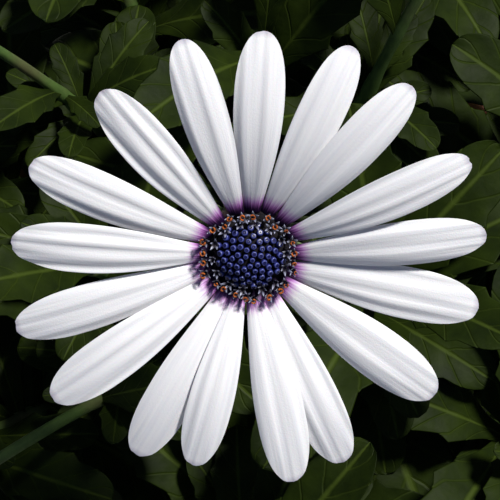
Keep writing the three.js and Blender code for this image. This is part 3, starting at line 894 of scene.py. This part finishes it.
def fine_leaf(plain, chance):
    """The leaf again with its teeth, a soft crease, waved edges and a swell between the veins."""
    phase, twist = TURN * next(chance), 0.5 * (next(chance) - 0.5)
    sway, width = 0.05 * plain.length * (next(chance) - 0.5), plain.width

    def arch(along, across):
        return LEAF["fold"] * (np.sqrt(across**2 + 0.02) - 0.14) * (1 - 0.3 * along)

    def ripple(along, across):
        turn = 2 * math.pi * EDGE_WAVE["count"] * along + phase + 0.8 * np.sign(across)
        edge = EDGE_WAVE["high"] * width * across**2 * np.sin(turn)
        pair = 2 * math.pi * (VEIN_PAIRS * along - VEIN_SWELL["slant"] * np.abs(across))
        swell = VEIN_SWELL["high"] * width * np.sin(pair)
        return (edge + swell * np.sin(math.pi * np.abs(across))) * np.minimum(1, 3 * along)

    fine = {"half": lambda along: width / 2 * toothed(along), "thick": LEAF_THICK, "arch": arch}
    return SimpleNamespace(**{**vars(plain), **fine, "ripple": ripple, "twist": twist, "sway": sway})


def leaf_rows():
    even = np.linspace(0, 1, LEAF_ROWS) ** 0.9
    return np.unique(np.concatenate([even, LEAF_EDGE[:, 0], [0.985]]).round(4))


print("rows of points along a leaf:", len(leaf_rows()))

# %% Leafy stems
STEM = {"steps": 44, "sides": 14, "slim": 0.72, "ribs": 6, "rib": 0.05, "node": 0.2, "node_reach": 2.2}
LEAF_SHAPE_SEED = 21


def stem_part(stem):
    """The stem, slimmer towards its tip, with a swelling where each leaf sits."""
    path = np.array([bezier(stem.pulls, t) for t in np.linspace(0, 1, STEM["steps"])])
    radii = stem.radius * np.linspace(1.0, STEM["slim"], STEM["steps"])
    for leaf in stem.leaves:
        gap = np.linalg.norm(path - leaf.root, axis=1)
        radii = radii + STEM["node"] * np.exp(-((gap / STEM["node_reach"]) ** 2))
    return tube(path, radii, STEM["sides"], ridges=STEM["ribs"], ridge=STEM["rib"])


def make_leafy_stem(name, stem, chance, node):
    rows = leaf_rows()
    leaves = [blade_skin(fine_leaf(leaf, chance), rows, LEAF_COLUMNS, tone=1) for leaf in stem.leaves]
    add_piece(name, [stem_part(stem), *leaves], [green_stem, leaf_top, leaf_under], "leaf", node)


def make_leafy_stems():
    chance = draws(LEAF_SHAPE_SEED)
    for i, stem in enumerate(stems_of("shoot"), 1):
        make_leafy_stem(f"leafy_shoot_{i}", stem, chance, f"shoot_{i}")
    make_leafy_stem("bloom_stem", stems_of("stalk")[0], chance, "bloom_stalk")
    for i, stem in enumerate(stems_of("bud"), 1):
        make_leafy_stem(f"bud_{i}_stem", stem, chance, f"bud_{i}_stalk")


make_leafy_stems()

# %% [markdown]
# ## Where the ray florets stand
# What look like petals are ray florets, each a whole small flower drawn out to one side. Their places,
# lengths and widths follow the photographed bloom, from the top one clockwise. Even steps with random
# draws would be shorter, but a bloom is known by which of its rays stand close and which apart.

# %% Ray florets, as measured
RAY = {"from": 5.4, "thick": 0.5, "pitch": 32, "bend": 44, "widest": 0.66, "foot_width": 0.3}
RAY_SECTION = {"hollow": 0.16, "ridge": 0.085, "fine": 0.3, "fine_count": 4.5}
# In turn: directions of the foot and of the tip, anticlockwise from the right; how far the tip reaches from
# the bloom's axis; the width; and by how many degrees more than the others the ray lifts.
RAY_FACTS = ("foot", "tip", "reach", "width", "lift")
RAYS = [dict(zip(RAY_FACTS, facts)) for facts in [
    (86, 86.6, 31.9, 6.9, 0), (66, 64.8, 32.5, 6.4, -3), (44, 48.3, 32.7, 6.4, 0),
    (23, 25.9, 33.1, 6.2, 2), (-3, 6.6, 32.6, 6.4, 0), (-29, -13, 32.6, 7.4, -3),
    (-48, -36.9, 32.4, 7.5, 0), (-66, -66, 32.8, 7.1, -2), (-86, -79, 32.8, 6.9, 1),
    (-104, -105, 30.7, 6.3, 2), (-119, -119, 33, 6.9, -2), (-138, -144.3, 33.8, 7.1, 1),
    (-157, -162.9, 34, 6.6, -2), (-177.5, 175, 32.7, 7, 1), (159.5, 155.7, 32.7, 6.6, -1),
    (136, 130.4, 31, 7, 1), (107, 106.2, 32.3, 6.4, 3),
]]
RING = {"inner": 4.7, "outer": 5.9, "low": -1.2, "high": -0.1}
print("rays:", len(RAYS), "widest, mm:", max(ray["width"] for ray in RAYS))

# %% [markdown]
# ## Petal skin
# A ray's upper face is white and satin: rows of tiny domed cells scatter the light softly, and fine
# streaks run along it. Its foot is dark purple and fades through lilac in about 4 mm; the foot is the
# ray's own purple, painted darker and wider as the shade that the florets cast on it. The underside has
# bluish violet bands. All of it is read from where a point lies on its blade, so that streaks and the
# dark foot follow every ray.

# %% Petal skin, white with a purple foot
PETAL = {"wide": 7, "long": 28}
PETAL_STREAK = {"wide": 0.7, "long": 17.5}
PETAL_CELL = 0.22
PETAL_BANDS = 3


def petal_skin(name, banded):
    """Satin petal. The streaks are drawn a few times their true width, so that they show."""
    petal = new_finish(name, Roughness=0.52, IOR=1.4, Subsurface_Weight=0.05, Subsurface_Scale=0.0005)
    place = add_node(petal, "UVMap")
    across = add_node(petal, "SeparateXYZ", {0: place})
    along = across.node.outputs[1]
    object_place = add_node(petal, "TexCoord", out=3)
    streaks = [PETAL[side] / PETAL_STREAK[side] for side in ("wide", "long")]
    stretched = add_node(petal, "Mapping", {0: place, 3: (*streaks, 1.0)})
    streak = add_node(petal, "TexNoise", {"Vector": stretched, "Scale": 1.0, "Detail": 3.0})
    cell_size = {"Scale": per_metre(PETAL_CELL), "Detail": 2.0}
    cells = add_node(petal, "TexNoise", {"Vector": object_place, **cell_size})
    pale = add_node(petal, "MapRange", {0: streak, 1: 0.3, 2: 0.7})
    body = add_node(petal, "Mix", {0: pale, 6: paint("e8e8ed"), 7: paint("f7f6f6")}, **COLOURS)
    if banded:
        band = add_node(petal, "MapRange", {0: across, 3: -PETAL_BANDS * math.pi, 4: PETAL_BANDS * math.pi})
        band = add_node(petal, "Math", {0: band}, operation="COSINE")
        band = add_node(petal, "MapRange", {0: band, 1: -0.3, 2: 1.0, 3: 0.0, 4: 0.75})
        body = add_node(petal, "Mix", {0: band, 6: body, 7: paint("6c6a9c")}, **COLOURS)
    wander = add_node(petal, "Math", {0: streak, 1: 0.1, 2: along}, operation="MULTIPLY_ADD")
    soft = {"interpolation_type": "SMOOTHSTEP"}
    blush = add_node(petal, "MapRange", {0: wander, 1: 0.115, 2: 0.2, 3: 1.0, 4: 0.0}, **soft)
    tip = add_node(petal, "MapRange", {0: along, 1: 0.965, 2: 1.0, 3: 0.0, 4: 0.55})
    # The foot: the ray's own dark purple, painted darker and wider as painted shade cast by the florets.
    foot = add_node(petal, "MapRange", {0: wander, 1: 0.088, 2: 0.15, 3: 1.0, 4: 0.0}, **soft)
    for share, colour in [(blush, "bb70c6"), (tip, "8f86a6"), (foot, "230a34")]:
        body = add_node(petal, "Mix", {0: share, 6: body, 7: paint(colour)}, **COLOURS)
    relief = add_node(petal, "Math", {0: streak, 1: 2.0, 2: cells}, operation="MULTIPLY_ADD")
    bump = add_node(petal, "Bump", {"Strength": 0.25, "Distance": 0.12 * MM, "Height": relief})
    wire(petal, Base_Color=body, Normal=bump)
    return petal


petal_top = petal_skin("petal top satin white", banded=False)
petal_under = petal_skin("petal underside banded", banded=True)
# Nearly black: partly the dark purple of the florets' bases, mostly painted shade in the gaps under them.
heart_and_painted_shade = grainy("floret bases dark purple and painted shade", "040106", "0d0512", 0.6, 0.9)

# %% [markdown]
# ## The ray florets
# Each ray rises from the middle and arches over, so the bloom is a shallow bowl. It widens up to two
# thirds of its length and ends in a half oval. Its face has two or three low ridges and finer ones
# between them, and some tips have a small notch. These are terms of the blade's formulas, which a flat
# shape with a bump couldn't give, because the ridges catch the light. Under the rays' feet lies the dark
# ring that the florets stand in, painted nearly black as shade.

# %% One ray
RAY_WIDENING = 1.25
RAY_RIPPLE = {"high": 0.16, "count": 1.2}
RAY_BOW, RAY_TWIST = -0.08, 0.24
NOTCH = {"deep": 0.01, "slight": 0.004, "wide": 0.07}
NOTCHED = (3, 12, 13, 14, 15)


def ray_blade(ray, index, chance):
    """A ray floret's blade. Its tip is a half oval that its ridges run into, a few with a notch."""
    root = polar(RAY["from"], math.radians(ray["foot"]), -0.4 + 0.12 * ray["lift"])
    tip = polar(ray["reach"], math.radians(ray["tip"]), root[2])
    across_to = tip - root
    pitch, bend = math.radians(RAY["pitch"] + ray["lift"]), math.radians(RAY["bend"])
    heading = math.atan2(across_to[1], across_to[0])
    ridges, phase, swell = 2 + index % 2, 1.1 * (next(chance) - 0.5), mix(0.8, 1.4, next(chance))
    notch = NOTCH["deep"] if index in NOTCHED else NOTCH["slight"] * next(chance)
    notch_at, wave = 0.4 * (next(chance) - 0.5), TURN * next(chance)
    length = np.linalg.norm(across_to) * bend / (math.sin(pitch) - math.sin(pitch - bend))
    bow = (math.radians(ray["foot"]) - heading + math.pi) % (2 * math.pi) - math.pi

    def half(along):
        share = np.minimum(1, along / RAY["widest"])
        return ray["width"] / 2 * mix(RAY["foot_width"], 1, np.sin(math.pi / 2 * share) ** RAY_WIDENING)

    def reach(across):
        oval = RAY["widest"] + (1 - RAY["widest"]) * (1 - np.abs(across) ** 2.2) ** (1 / 2.4)
        return oval - notch * np.exp(-(((across - notch_at) / NOTCH["wide"]) ** 2))

    def arch(along, across):
        faded = np.sin(math.pi * np.clip(along, 0.08, 0.94))
        ridge = np.sin(ridges * math.pi * across / 2 + phase) ** 2 * faded
        fine = RAY_SECTION["fine"] * np.sin(RAY_SECTION["fine_count"] * math.pi * across + 3 * phase) * along
        return RAY_SECTION["ridge"] * swell * (ridge + fine) - RAY_SECTION["hollow"] * across**2

    def ripple(along, across):
        turn = 2 * math.pi * RAY_RIPPLE["count"] * along + wave
        return RAY_RIPPLE["high"] * across * np.sin(turn) * along

    return a_blade(
        root, heading, pitch, bend, length, half, RAY["thick"], arch=arch, reach=reach, ripple=ripple,
        sway=RAY_BOW * bow * length, twist=RAY_TWIST * (next(chance) - 0.5),
    )


first_ray = ray_blade(RAYS[0], 0, draws(1))
print("length of the first ray along its bend, mm:", round(first_ray.length, 1))

# %% The bloom's rays
RAY_SEED = 3
RAY_ROWS, RAY_COLUMNS = 34, 22
RING_SIDES = 48


def bloom_place(part):
    """From the bloom's own frame, with its axis on Z, to its place on the plant."""
    return moved(part, turn_about("X", BLOOM_LEAN), BLOOM)


def make_rays():
    chance = draws(RAY_SEED)
    rows = np.sin(np.linspace(0, math.pi / 2, RAY_ROWS)) ** 1.15
    parts = [blade_skin(ray_blade(ray, i, chance), rows, RAY_COLUMNS) for i, ray in enumerate(RAYS)]
    band = [
        (AXIS, RING["low"]), (RING["outer"], RING["low"]), (RING["outer"], RING["high"] - 0.3),
        (RING["outer"] - 0.4, RING["high"]), (RING["inner"], RING["high"]), (AXIS, RING["low"] + 0.5),
    ]
    # The ring under the rays' feet, painted nearly black as shade.
    heart = turned(band, RING_SIDES)
    heart.tones[:] = 2
    finishes = [petal_top, petal_under, heart_and_painted_shade]
    add_piece("ray_florets", [bloom_place(part) for part in [*parts, heart]], finishes, "ray", "bloom_rays")


make_rays()

# %% [markdown]
# ## The disc
# The eye is a dome of closed florets in crossing spirals. Each is a navy knob about 0.9 mm across with
# five creases where its lobes will part, waxy enough to catch a small light on its shoulder. Its sides
# and the dimple in its top are painted dark as shade, and a pale ring round the dimple is a painted
# highlight. The dome's skin between the knobs is painted nearly black as shade. A bumpy dome would look
# painted, so each knob is a body of its own, placed by the golden angle, which is what makes the spirals.

# %% Navy floret bud, waxy
BUD_GRAIN = 0.5


def floret_bud_skin():
    """Painted shade on its sides, a pale lip where the lobes meet as a painted highlight, and painted shade
    in the dimple inside the lip.
    """
    bud = new_finish("floret bud waxy navy painted highlight and shade", Roughness=0.36, IOR=1.45, Coat_Weight=0.25, Coat_Roughness=0.2)
    up = add_node(bud, "SeparateXYZ", {0: add_node(bud, "UVMap")}, 1)
    place = add_node(bud, "TexCoord", out=3)
    tone = add_node(bud, "TexNoise", {"Vector": place, "Scale": per_metre(BUD_GRAIN), "Detail": 2.0})
    body = add_node(bud, "Mix", {0: tone, 6: paint("16184a"), 7: paint("2b3486")}, **COLOURS)
    # By height on the knob: the dark sides and the dark dimple are painted shade, the pale lip a painted
    # highlight.
    side = {1: 0.4, 2: 0.7, 3: 1.0, 4: 0.0}
    painted_lip_highlight = {1: 0.72, 2: 0.84, 3: 0.0, 4: 0.55}
    eye = {1: 0.86, 2: 0.93, 3: 0.0, 4: 1.0}
    for band, colour in [(side, "05030c"), (painted_lip_highlight, "6a74bc"), (eye, "14154a")]:
        share = add_node(bud, "MapRange", {0: up, **band})
        body = add_node(bud, "Mix", {0: share, 6: body, 7: paint(colour)}, **COLOURS)
    wire(bud, Base_Color=body)
    return bud


# %% Knobs of the disc
DOME = {"radius": 4.9, "low": 0.7, "edge": 1.3, "apex": 4}
KNOBS = {"count": 70, "within": 4.5, "radius": 0.46, "tall": 1.6, "lean": 0.75, "dimple": 0.5}
KNOB_RINGS, KNOB_SIDES = 11, 15
KNOB_LOBES = {"lobes": 5, "lobe": 0.05}


def dome_height(radius):
    return mix(DOME["apex"], DOME["edge"], (radius / DOME["radius"]) ** 2)


def knob(index, chance):
    """A closed floret: a stout bud with a creased round top, leaning out more towards the dome's edge."""
    radius = KNOBS["within"] * math.sqrt((index + 0.5) / KNOBS["count"])
    angle = GOLDEN_TURN * index
    size = mix(0.82, 1.06, radius / KNOBS["within"]) * mix(0.93, 1.05, next(chance))
    heights = np.linspace(-1, 1, KNOB_RINGS)
    tapers = [0.8 + 0.2 * h if h < 0 else 1 for h in heights]
    outline = [(max(AXIS, (1 - max(0, h) ** 2.6) ** 0.5) * taper, h) for h, taper in zip(heights, tapers)]
    body = turned(outline, KNOB_SIDES, **KNOB_LOBES)
    top = body.points[:, 2] > 0.75
    body.points[top, 2] -= KNOBS["dimple"] * (1 - np.hypot(body.points[top, 0], body.points[top, 1])) ** 2
    body.points = body.points * [KNOBS["radius"] * size, KNOBS["radius"] * size, KNOBS["tall"] * size / 2]
    lean = KNOBS["lean"] * radius / KNOBS["within"]
    turn = turn_about("Z", angle) @ turn_about("Y", lean) @ turn_about("Z", next(chance))
    return moved(body, turn, polar(radius, angle, dome_height(radius) - 0.1))


dome_heights = [round(dome_height(radius), 1) for radius in (0, DOME["radius"])]
print("height of the dome in its middle and at its edge, mm:", dome_heights)

# %% Disc
DOME_SIDES, DOME_STEPS = 40, 12
DOME_SINK = 0.45  # how far the dome's skin lies below the middles of its knobs
KNOB_SEED = 8


def make_disc():
    chance = draws(KNOB_SEED)
    plug = RING["inner"] - 0.3
    radii = DOME["radius"] * np.linspace(1, 0, DOME_STEPS)
    arc = [(max(AXIS, radius), dome_height(radius) - DOME_SINK) for radius in radii]
    under = RING["low"] + 0.6
    dome = turned([(AXIS, under), (plug, under), (plug, DOME["low"]), *arc], DOME_SIDES)
    knobs = [knob(i, chance) for i in range(KNOBS["count"])]
    for part in knobs:
        part.tones[:] = 1
    # The dome's skin between the knobs takes the nearly black painted shade.
    finishes = [heart_and_painted_shade, floret_bud_skin()]
    add_piece("disc_florets", [bloom_place(part) for part in [dome, *knobs]], finishes, "disc", "bloom_disc")


make_disc()

# %% [markdown]
# ## Open florets round the disc
# Round the dome the florets have opened. Each is a dark tube with five pointed lobes, dark at their foot
# and pale and silky towards their tips, round a dark column of anthers; the pale tips are partly the
# lobes' own colour and partly a painted highlight. On top the pollen clings in a small orange curl. They
# lean outwards, and no two stand quite alike. One floret could be made and copied, but the copies would
# show, so each is drawn anew. The tube is dark and a little glossy, the lobes have a silky sheen, and
# pollen is a dull powder.

# %% Floret tube, silky lobe and pollen
floret_tube = new_finish("floret tube purple black", Base_Color=paint("170c22"), Roughness=0.4, IOR=1.45)
POLLEN_GRAIN = 0.2
pollen = grainy("pollen orange powdery", "6e2c0d", "cf6f27", POLLEN_GRAIN, 0.85)


def lobe_skin():
    lobe = new_finish("floret lobe silky with painted highlight", Roughness=0.32, IOR=1.45, Sheen_Weight=0.3)
    along = add_node(lobe, "SeparateXYZ", {0: add_node(lobe, "UVMap")}, 1)
    # Pale towards the tip: partly the lobes' own colour, partly a painted highlight.
    pale = add_node(lobe, "MapRange", {0: along, 1: 0.3, 2: 0.9})
    body = add_node(lobe, "Mix", {0: pale, 6: paint("150b20"), 7: paint("a4a7c2")}, **COLOURS)
    wire(lobe, Base_Color=body)
    return lobe


# %% Lobes of a floret
LOBE = {"count": 5, "from": 0.22, "pitch": 86, "length": 1.2, "width": 0.42, "thick": 0.09}
LOBE_ROWS, LOBE_COLUMNS = 7, 4


def lobes_of(height, spread, chance):
    """Five pointed lobes round the mouth of a floret's tube."""
    def half(along):
        return LOBE["width"] / 2 * np.sin(math.pi * np.clip(0.3 + 0.7 * along, 0, 0.985)) ** 0.8

    parts = []
    for i in range(LOBE["count"]):
        angle = 2 * math.pi * i / LOBE["count"]
        blade = a_blade(
            root=polar(LOBE["from"], angle, height), heading=angle + 0.3 * (next(chance) - 0.5),
            pitch=math.radians(LOBE["pitch"] - 30 * next(chance)), bend=math.radians(spread),
            length=LOBE["length"] * mix(0.6, 1.1, next(chance)), half=half, thick=LOBE["thick"],
        )
        parts.append(blade_skin(blade, np.linspace(0, 1, LOBE_ROWS), LOBE_COLUMNS, tone=1))
    return parts


print("lobes of a floret:", len(lobes_of(0, 30, draws(1))))

# %% Pollen curl
CURL = {"radius": 0.32, "thick": 0.13, "turn": 290}
CURL_STEPS, CURL_SIDES = 14, 7


def curl(height, chance):
    """A small open ring of pollen at the column's tip, with a tilt and size of its own."""
    angle = np.radians(np.linspace(0, CURL["turn"], CURL_STEPS))
    path = np.stack([CURL["radius"] * np.cos(angle), 0 * angle, CURL["radius"] * np.sin(angle)], axis=-1)
    ring = tube(path, CURL["thick"] * (0.8 + 0.25 * np.sin(angle * 2)), CURL_SIDES)
    ring.tones[:] = 3
    tilt = turn_about("Z", TURN * next(chance)) @ turn_about("X", math.radians(50 + 50 * next(chance)))
    size = mix(0.7, 1.15, next(chance))
    return moved(ring, tilt * size, (0, 0, height))


print("faces of a pollen curl:", len(curl(0, draws(1)).faces))

# %% One floret
FLORETS = {"count": 24, "from": 5.6, "low": 0.5, "tube": 1.75, "lean": 15, "oval": 0.95}
FLORET_SIDES, COLUMN_SIDES = 10, 8


def open_floret(angle, radius, lean, size, chance, with_pollen=True):
    """One floret: its tube and lobes, and the column with its pollen where it is fully open."""
    tall = FLORETS["tube"] * size
    outline = [(0.16, 0), (0.22, tall * 0.5), (0.34, tall * 0.9), (0.3, tall)]
    lobes = lobes_of(tall * 0.95, 10 + 45 * next(chance), chance)
    parts = [turned(rounded(outline, 0.3, 3), FLORET_SIDES), *lobes]
    if with_pollen:
        column = turned([(0.1, tall * 0.6), (0.16, tall + 0.5), (0.12, tall + 0.85)], COLUMN_SIDES)
        parts += [column, curl(tall + 0.95, chance)]
    turn = turn_about("Z", angle) @ turn_about("Y", lean)
    place = polar(radius, angle, FLORETS["low"]) * (1, FLORETS["oval"], 1)
    return [moved(part, turn, place) for part in parts]


print("parts of an open floret:", len(open_floret(0, 0, 0, 1, draws(1))))

# %% Open florets
HALF_OPEN = {"count": 14, "from": 4.85, "lean": 8}
FLORET_SEED = 14


def make_open_florets():
    chance = draws(FLORET_SEED)
    parts = []
    for i in range(FLORETS["count"]):
        angle = 2 * math.pi * (i + 0.5 + 0.5 * (next(chance) - 0.5)) / FLORETS["count"]
        radius = FLORETS["from"] + 0.6 * (next(chance) - 0.5)
        lean = math.radians(FLORETS["lean"] + 16 * (next(chance) - 0.5))
        parts += open_floret(angle, radius, lean, mix(0.8, 1.25, next(chance)), chance)
    lean = math.radians(HALF_OPEN["lean"])
    for i in range(HALF_OPEN["count"]):
        angle = 2 * math.pi * (i + 0.3 * next(chance)) / HALF_OPEN["count"]
        size = mix(0.9, 1.2, next(chance))
        parts += open_floret(angle, HALF_OPEN["from"], lean, size, chance, with_pollen=False)
    finishes = [floret_tube, lobe_skin(), floret_tube, pollen]
    parts = [bloom_place(part) for part in parts]
    add_piece("open_florets", parts, finishes, "pollen", "bloom_open_florets")


make_open_florets()

# %% [markdown]
# ## Cups of bracts
# Under the rays a cup of narrow green bracts holds the head, in two overlapping rows, each bract with a
# thin pale edge and a purple tip. Its surface is leafy and satin, with a soft mottle. The same cup,
# smaller, wraps each bud. An array modifier could set out the bracts evenly, but a loop can turn each a
# little its own way.

# %% Bract skin, green with a purple tip
BRACT_MOTTLE = 1.5


def bract_skin():
    bract = new_finish("bract green purple tipped", Roughness=0.5, IOR=1.42)
    across = add_node(bract, "SeparateXYZ", {0: add_node(bract, "UVMap")})
    along = across.node.outputs[1]
    place = add_node(bract, "TexCoord", out=3)
    mottle = add_node(bract, "TexNoise", {"Vector": place, "Scale": per_metre(BRACT_MOTTLE), "Detail": 3.0})
    body = add_node(bract, "Mix", {0: mottle, 6: paint("37562a"), 7: paint("66854a")}, **COLOURS)
    off = add_node(bract, "MapRange", {0: across, 3: -1.0, 4: 1.0})
    off = add_node(bract, "Math", {0: off}, operation="ABSOLUTE")
    margin = add_node(bract, "MapRange", {0: off, 1: 0.72, 2: 0.95, 3: 0.0, 4: 0.6})
    tip = add_node(bract, "MapRange", {0: along, 1: 0.68, 2: 0.96, 3: 0.0, 4: 0.8})
    for share, colour in [(margin, "a9b58c"), (tip, "4f2a45")]:
        body = add_node(bract, "Mix", {0: share, 6: body, 7: paint(colour)}, **COLOURS)
    bump = add_node(bract, "Bump", {"Strength": 0.3, "Distance": 0.15 * MM, "Height": mottle})
    wire(bract, Base_Color=body, Normal=bump)
    return bract


green_bract = bract_skin()

# %% A cup of bracts
CUP = {"socket": CUP_SOCKET, "side": [(2.7, -6.4), (5.2, -4.9), (6.8, -2.7), (6.8, -1.5)], "crown": -1.5}
BLOOM_BRACTS = {
    "count": 14, "from": 4.2, "height": -4.3, "width": 1.9, "pitch": 44, "bend": 24, "length": 7.6,
}
BRACT_THICK, BRACT_HOLLOW = 0.5, -0.22
CUP_SIDES = 40
BRACT_ROWS, BRACT_COLUMNS = 10, 6


def bract_cup(cup, stalk, bract, chance):
    """A bowl with a socket for its stalk, in two rows of bracts. The second row is shorter."""
    socket = stalk + 0.3
    corners = [(AXIS, cup["socket"]), (socket, cup["socket"]), (socket, cup["side"][0][1]), *cup["side"]]
    parts = [turned(rounded([*corners, (AXIS, cup["crown"])], 0.6, 4), CUP_SIDES)]
    for row, (size, lift) in enumerate([(1, 0), (0.86, -0.25)]):
        for i in range(bract["count"]):
            angle = 2 * math.pi * (i + 0.5 * row) / bract["count"]
            blade = a_blade(
                root=polar(bract["from"] + 0.15 * row, angle, bract["height"] + lift),
                heading=angle + 0.1 * (next(chance) - 0.5),
                pitch=math.radians(bract["pitch"] + 4 * (next(chance) - 0.5)),
                bend=math.radians(bract["bend"]),
                length=bract["length"] * size, thick=BRACT_THICK,
                half=lambda along: bract["width"] / 2 * np.maximum(0.04, 1 - along**2.2),
                arch=lambda along, across: BRACT_HOLLOW * across**2,
            )
            parts.append(blade_skin(blade, np.linspace(0, 1, BRACT_ROWS), BRACT_COLUMNS))
            parts[-1].tones[:] = 0
    return parts


print("bracts in the bloom's cup:", 2 * BLOOM_BRACTS["count"])

# %% The bloom's cup
CUP_SEED = 31


def make_bloom_cup():
    parts = bract_cup(CUP, BLOOM_STALK, BLOOM_BRACTS, draws(CUP_SEED))
    add_piece("bloom_cup", [bloom_place(part) for part in parts], [green_bract], "bract", "bloom_involucre")


make_bloom_cup()

# %% [markdown]
# ## Buds
# Two buds are opening: their rays are still furled round each other and show their violet backs. One is
# shut, with only its bracts. Each stands in the direction that its stalk ends in. A plain egg with a
# striped finish would do from afar, but the furled rays overlap, and their edges show where one wraps the
# next.

# %% Furled rays
BUD_TOP = 6
FURLED = {"count": 10, "from": 1.2, "pitch": 72, "bend": -40, "length": 12.5, "roll": 26, "width": 3.2}
FURLED_THICK, FURLED_HOLLOW = 0.45, -0.45
FURLED_ROWS, FURLED_COLUMNS = 18, 8


def furled_rays(chance):
    """Furled florets, each wrapped a little over the next."""
    parts = []
    for i in range(FURLED["count"]):
        angle = 2 * math.pi * i / FURLED["count"]
        blade = a_blade(
            root=polar(FURLED["from"], angle, BUD_TOP + 0.4), heading=angle,
            pitch=math.radians(FURLED["pitch"]),
            bend=math.radians(FURLED["bend"] + 6 * (next(chance) - 0.5)),
            length=FURLED["length"] * mix(0.92, 1.04, next(chance)), thick=FURLED_THICK,
            half=lambda along: FURLED["width"] / 2 * np.sin(math.pi * (0.2 + 0.78 * along)) ** 0.7,
            roll=math.radians(FURLED["roll"]), arch=lambda along, across: FURLED_HOLLOW * across**2,
        )
        parts.append(blade_skin(blade, np.linspace(0, 1, FURLED_ROWS), FURLED_COLUMNS))
    return parts


print("furled rays in a bud:", len(furled_rays(draws(1))))

# %% Buds
OPEN_CUP = {"socket": 0.4, "side": [(2.5, -2), (2.5, 0.7), (1.5, 2.4), (1.5, BUD_TOP)], "crown": BUD_TOP}
CLOSED_CUP = {"socket": 0.4, "side": [(2.5, -2), (2.5, 0.7), (2.3, 4), (1.6, 7.6)], "crown": 9}
BUD_BRACTS = {"count": 8, "from": 2.2, "height": -0.4, "width": 1.8}
OPEN_BRACTS = {**BUD_BRACTS, "pitch": 64, "bend": -24, "length": 10}
CLOSED_BRACTS = {**BUD_BRACTS, "pitch": 58, "bend": -58, "length": 10.5}
BUD_SEED = 41


def make_buds():
    chance = draws(BUD_SEED)
    for i, (stem, bud) in enumerate(zip(stems_of("bud"), BUDS), 1):
        tip, before = bezier(stem.pulls, 1), np.array(stem.pulls[-2], float)
        turn = np.array(Vector((0, 0, 1)).rotation_difference(Vector(tip - before)).to_matrix())
        cup, bract = (OPEN_CUP, OPEN_BRACTS) if bud["open"] else (CLOSED_CUP, CLOSED_BRACTS)
        parts = [moved(part, turn, tip) for part in bract_cup(cup, BUD_STALK, bract, chance)]
        add_piece(f"bud_{i}_cup", parts, [green_bract], "bract", f"bud_{i}_bracts")
        if bud["open"]:
            parts = [moved(part, turn, tip) for part in furled_rays(chance)]
            add_piece(f"bud_{i}_furled", parts, [petal_top, petal_under], "bud_ray", f"bud_{i}_rays")


make_buds()

# %% [markdown]
# ## The floor, and the end
# The floor is a plain pale board, painted matte, so that it takes a shadow and shows no gloss. A single
# flat face is enough for it.

# %% Floor finish
pale_floor = new_finish("studio floor matte pale", Base_Color=paint("dedbd5"), Roughness=0.8, IOR=1.5)
floor.data.materials.append(pale_floor)
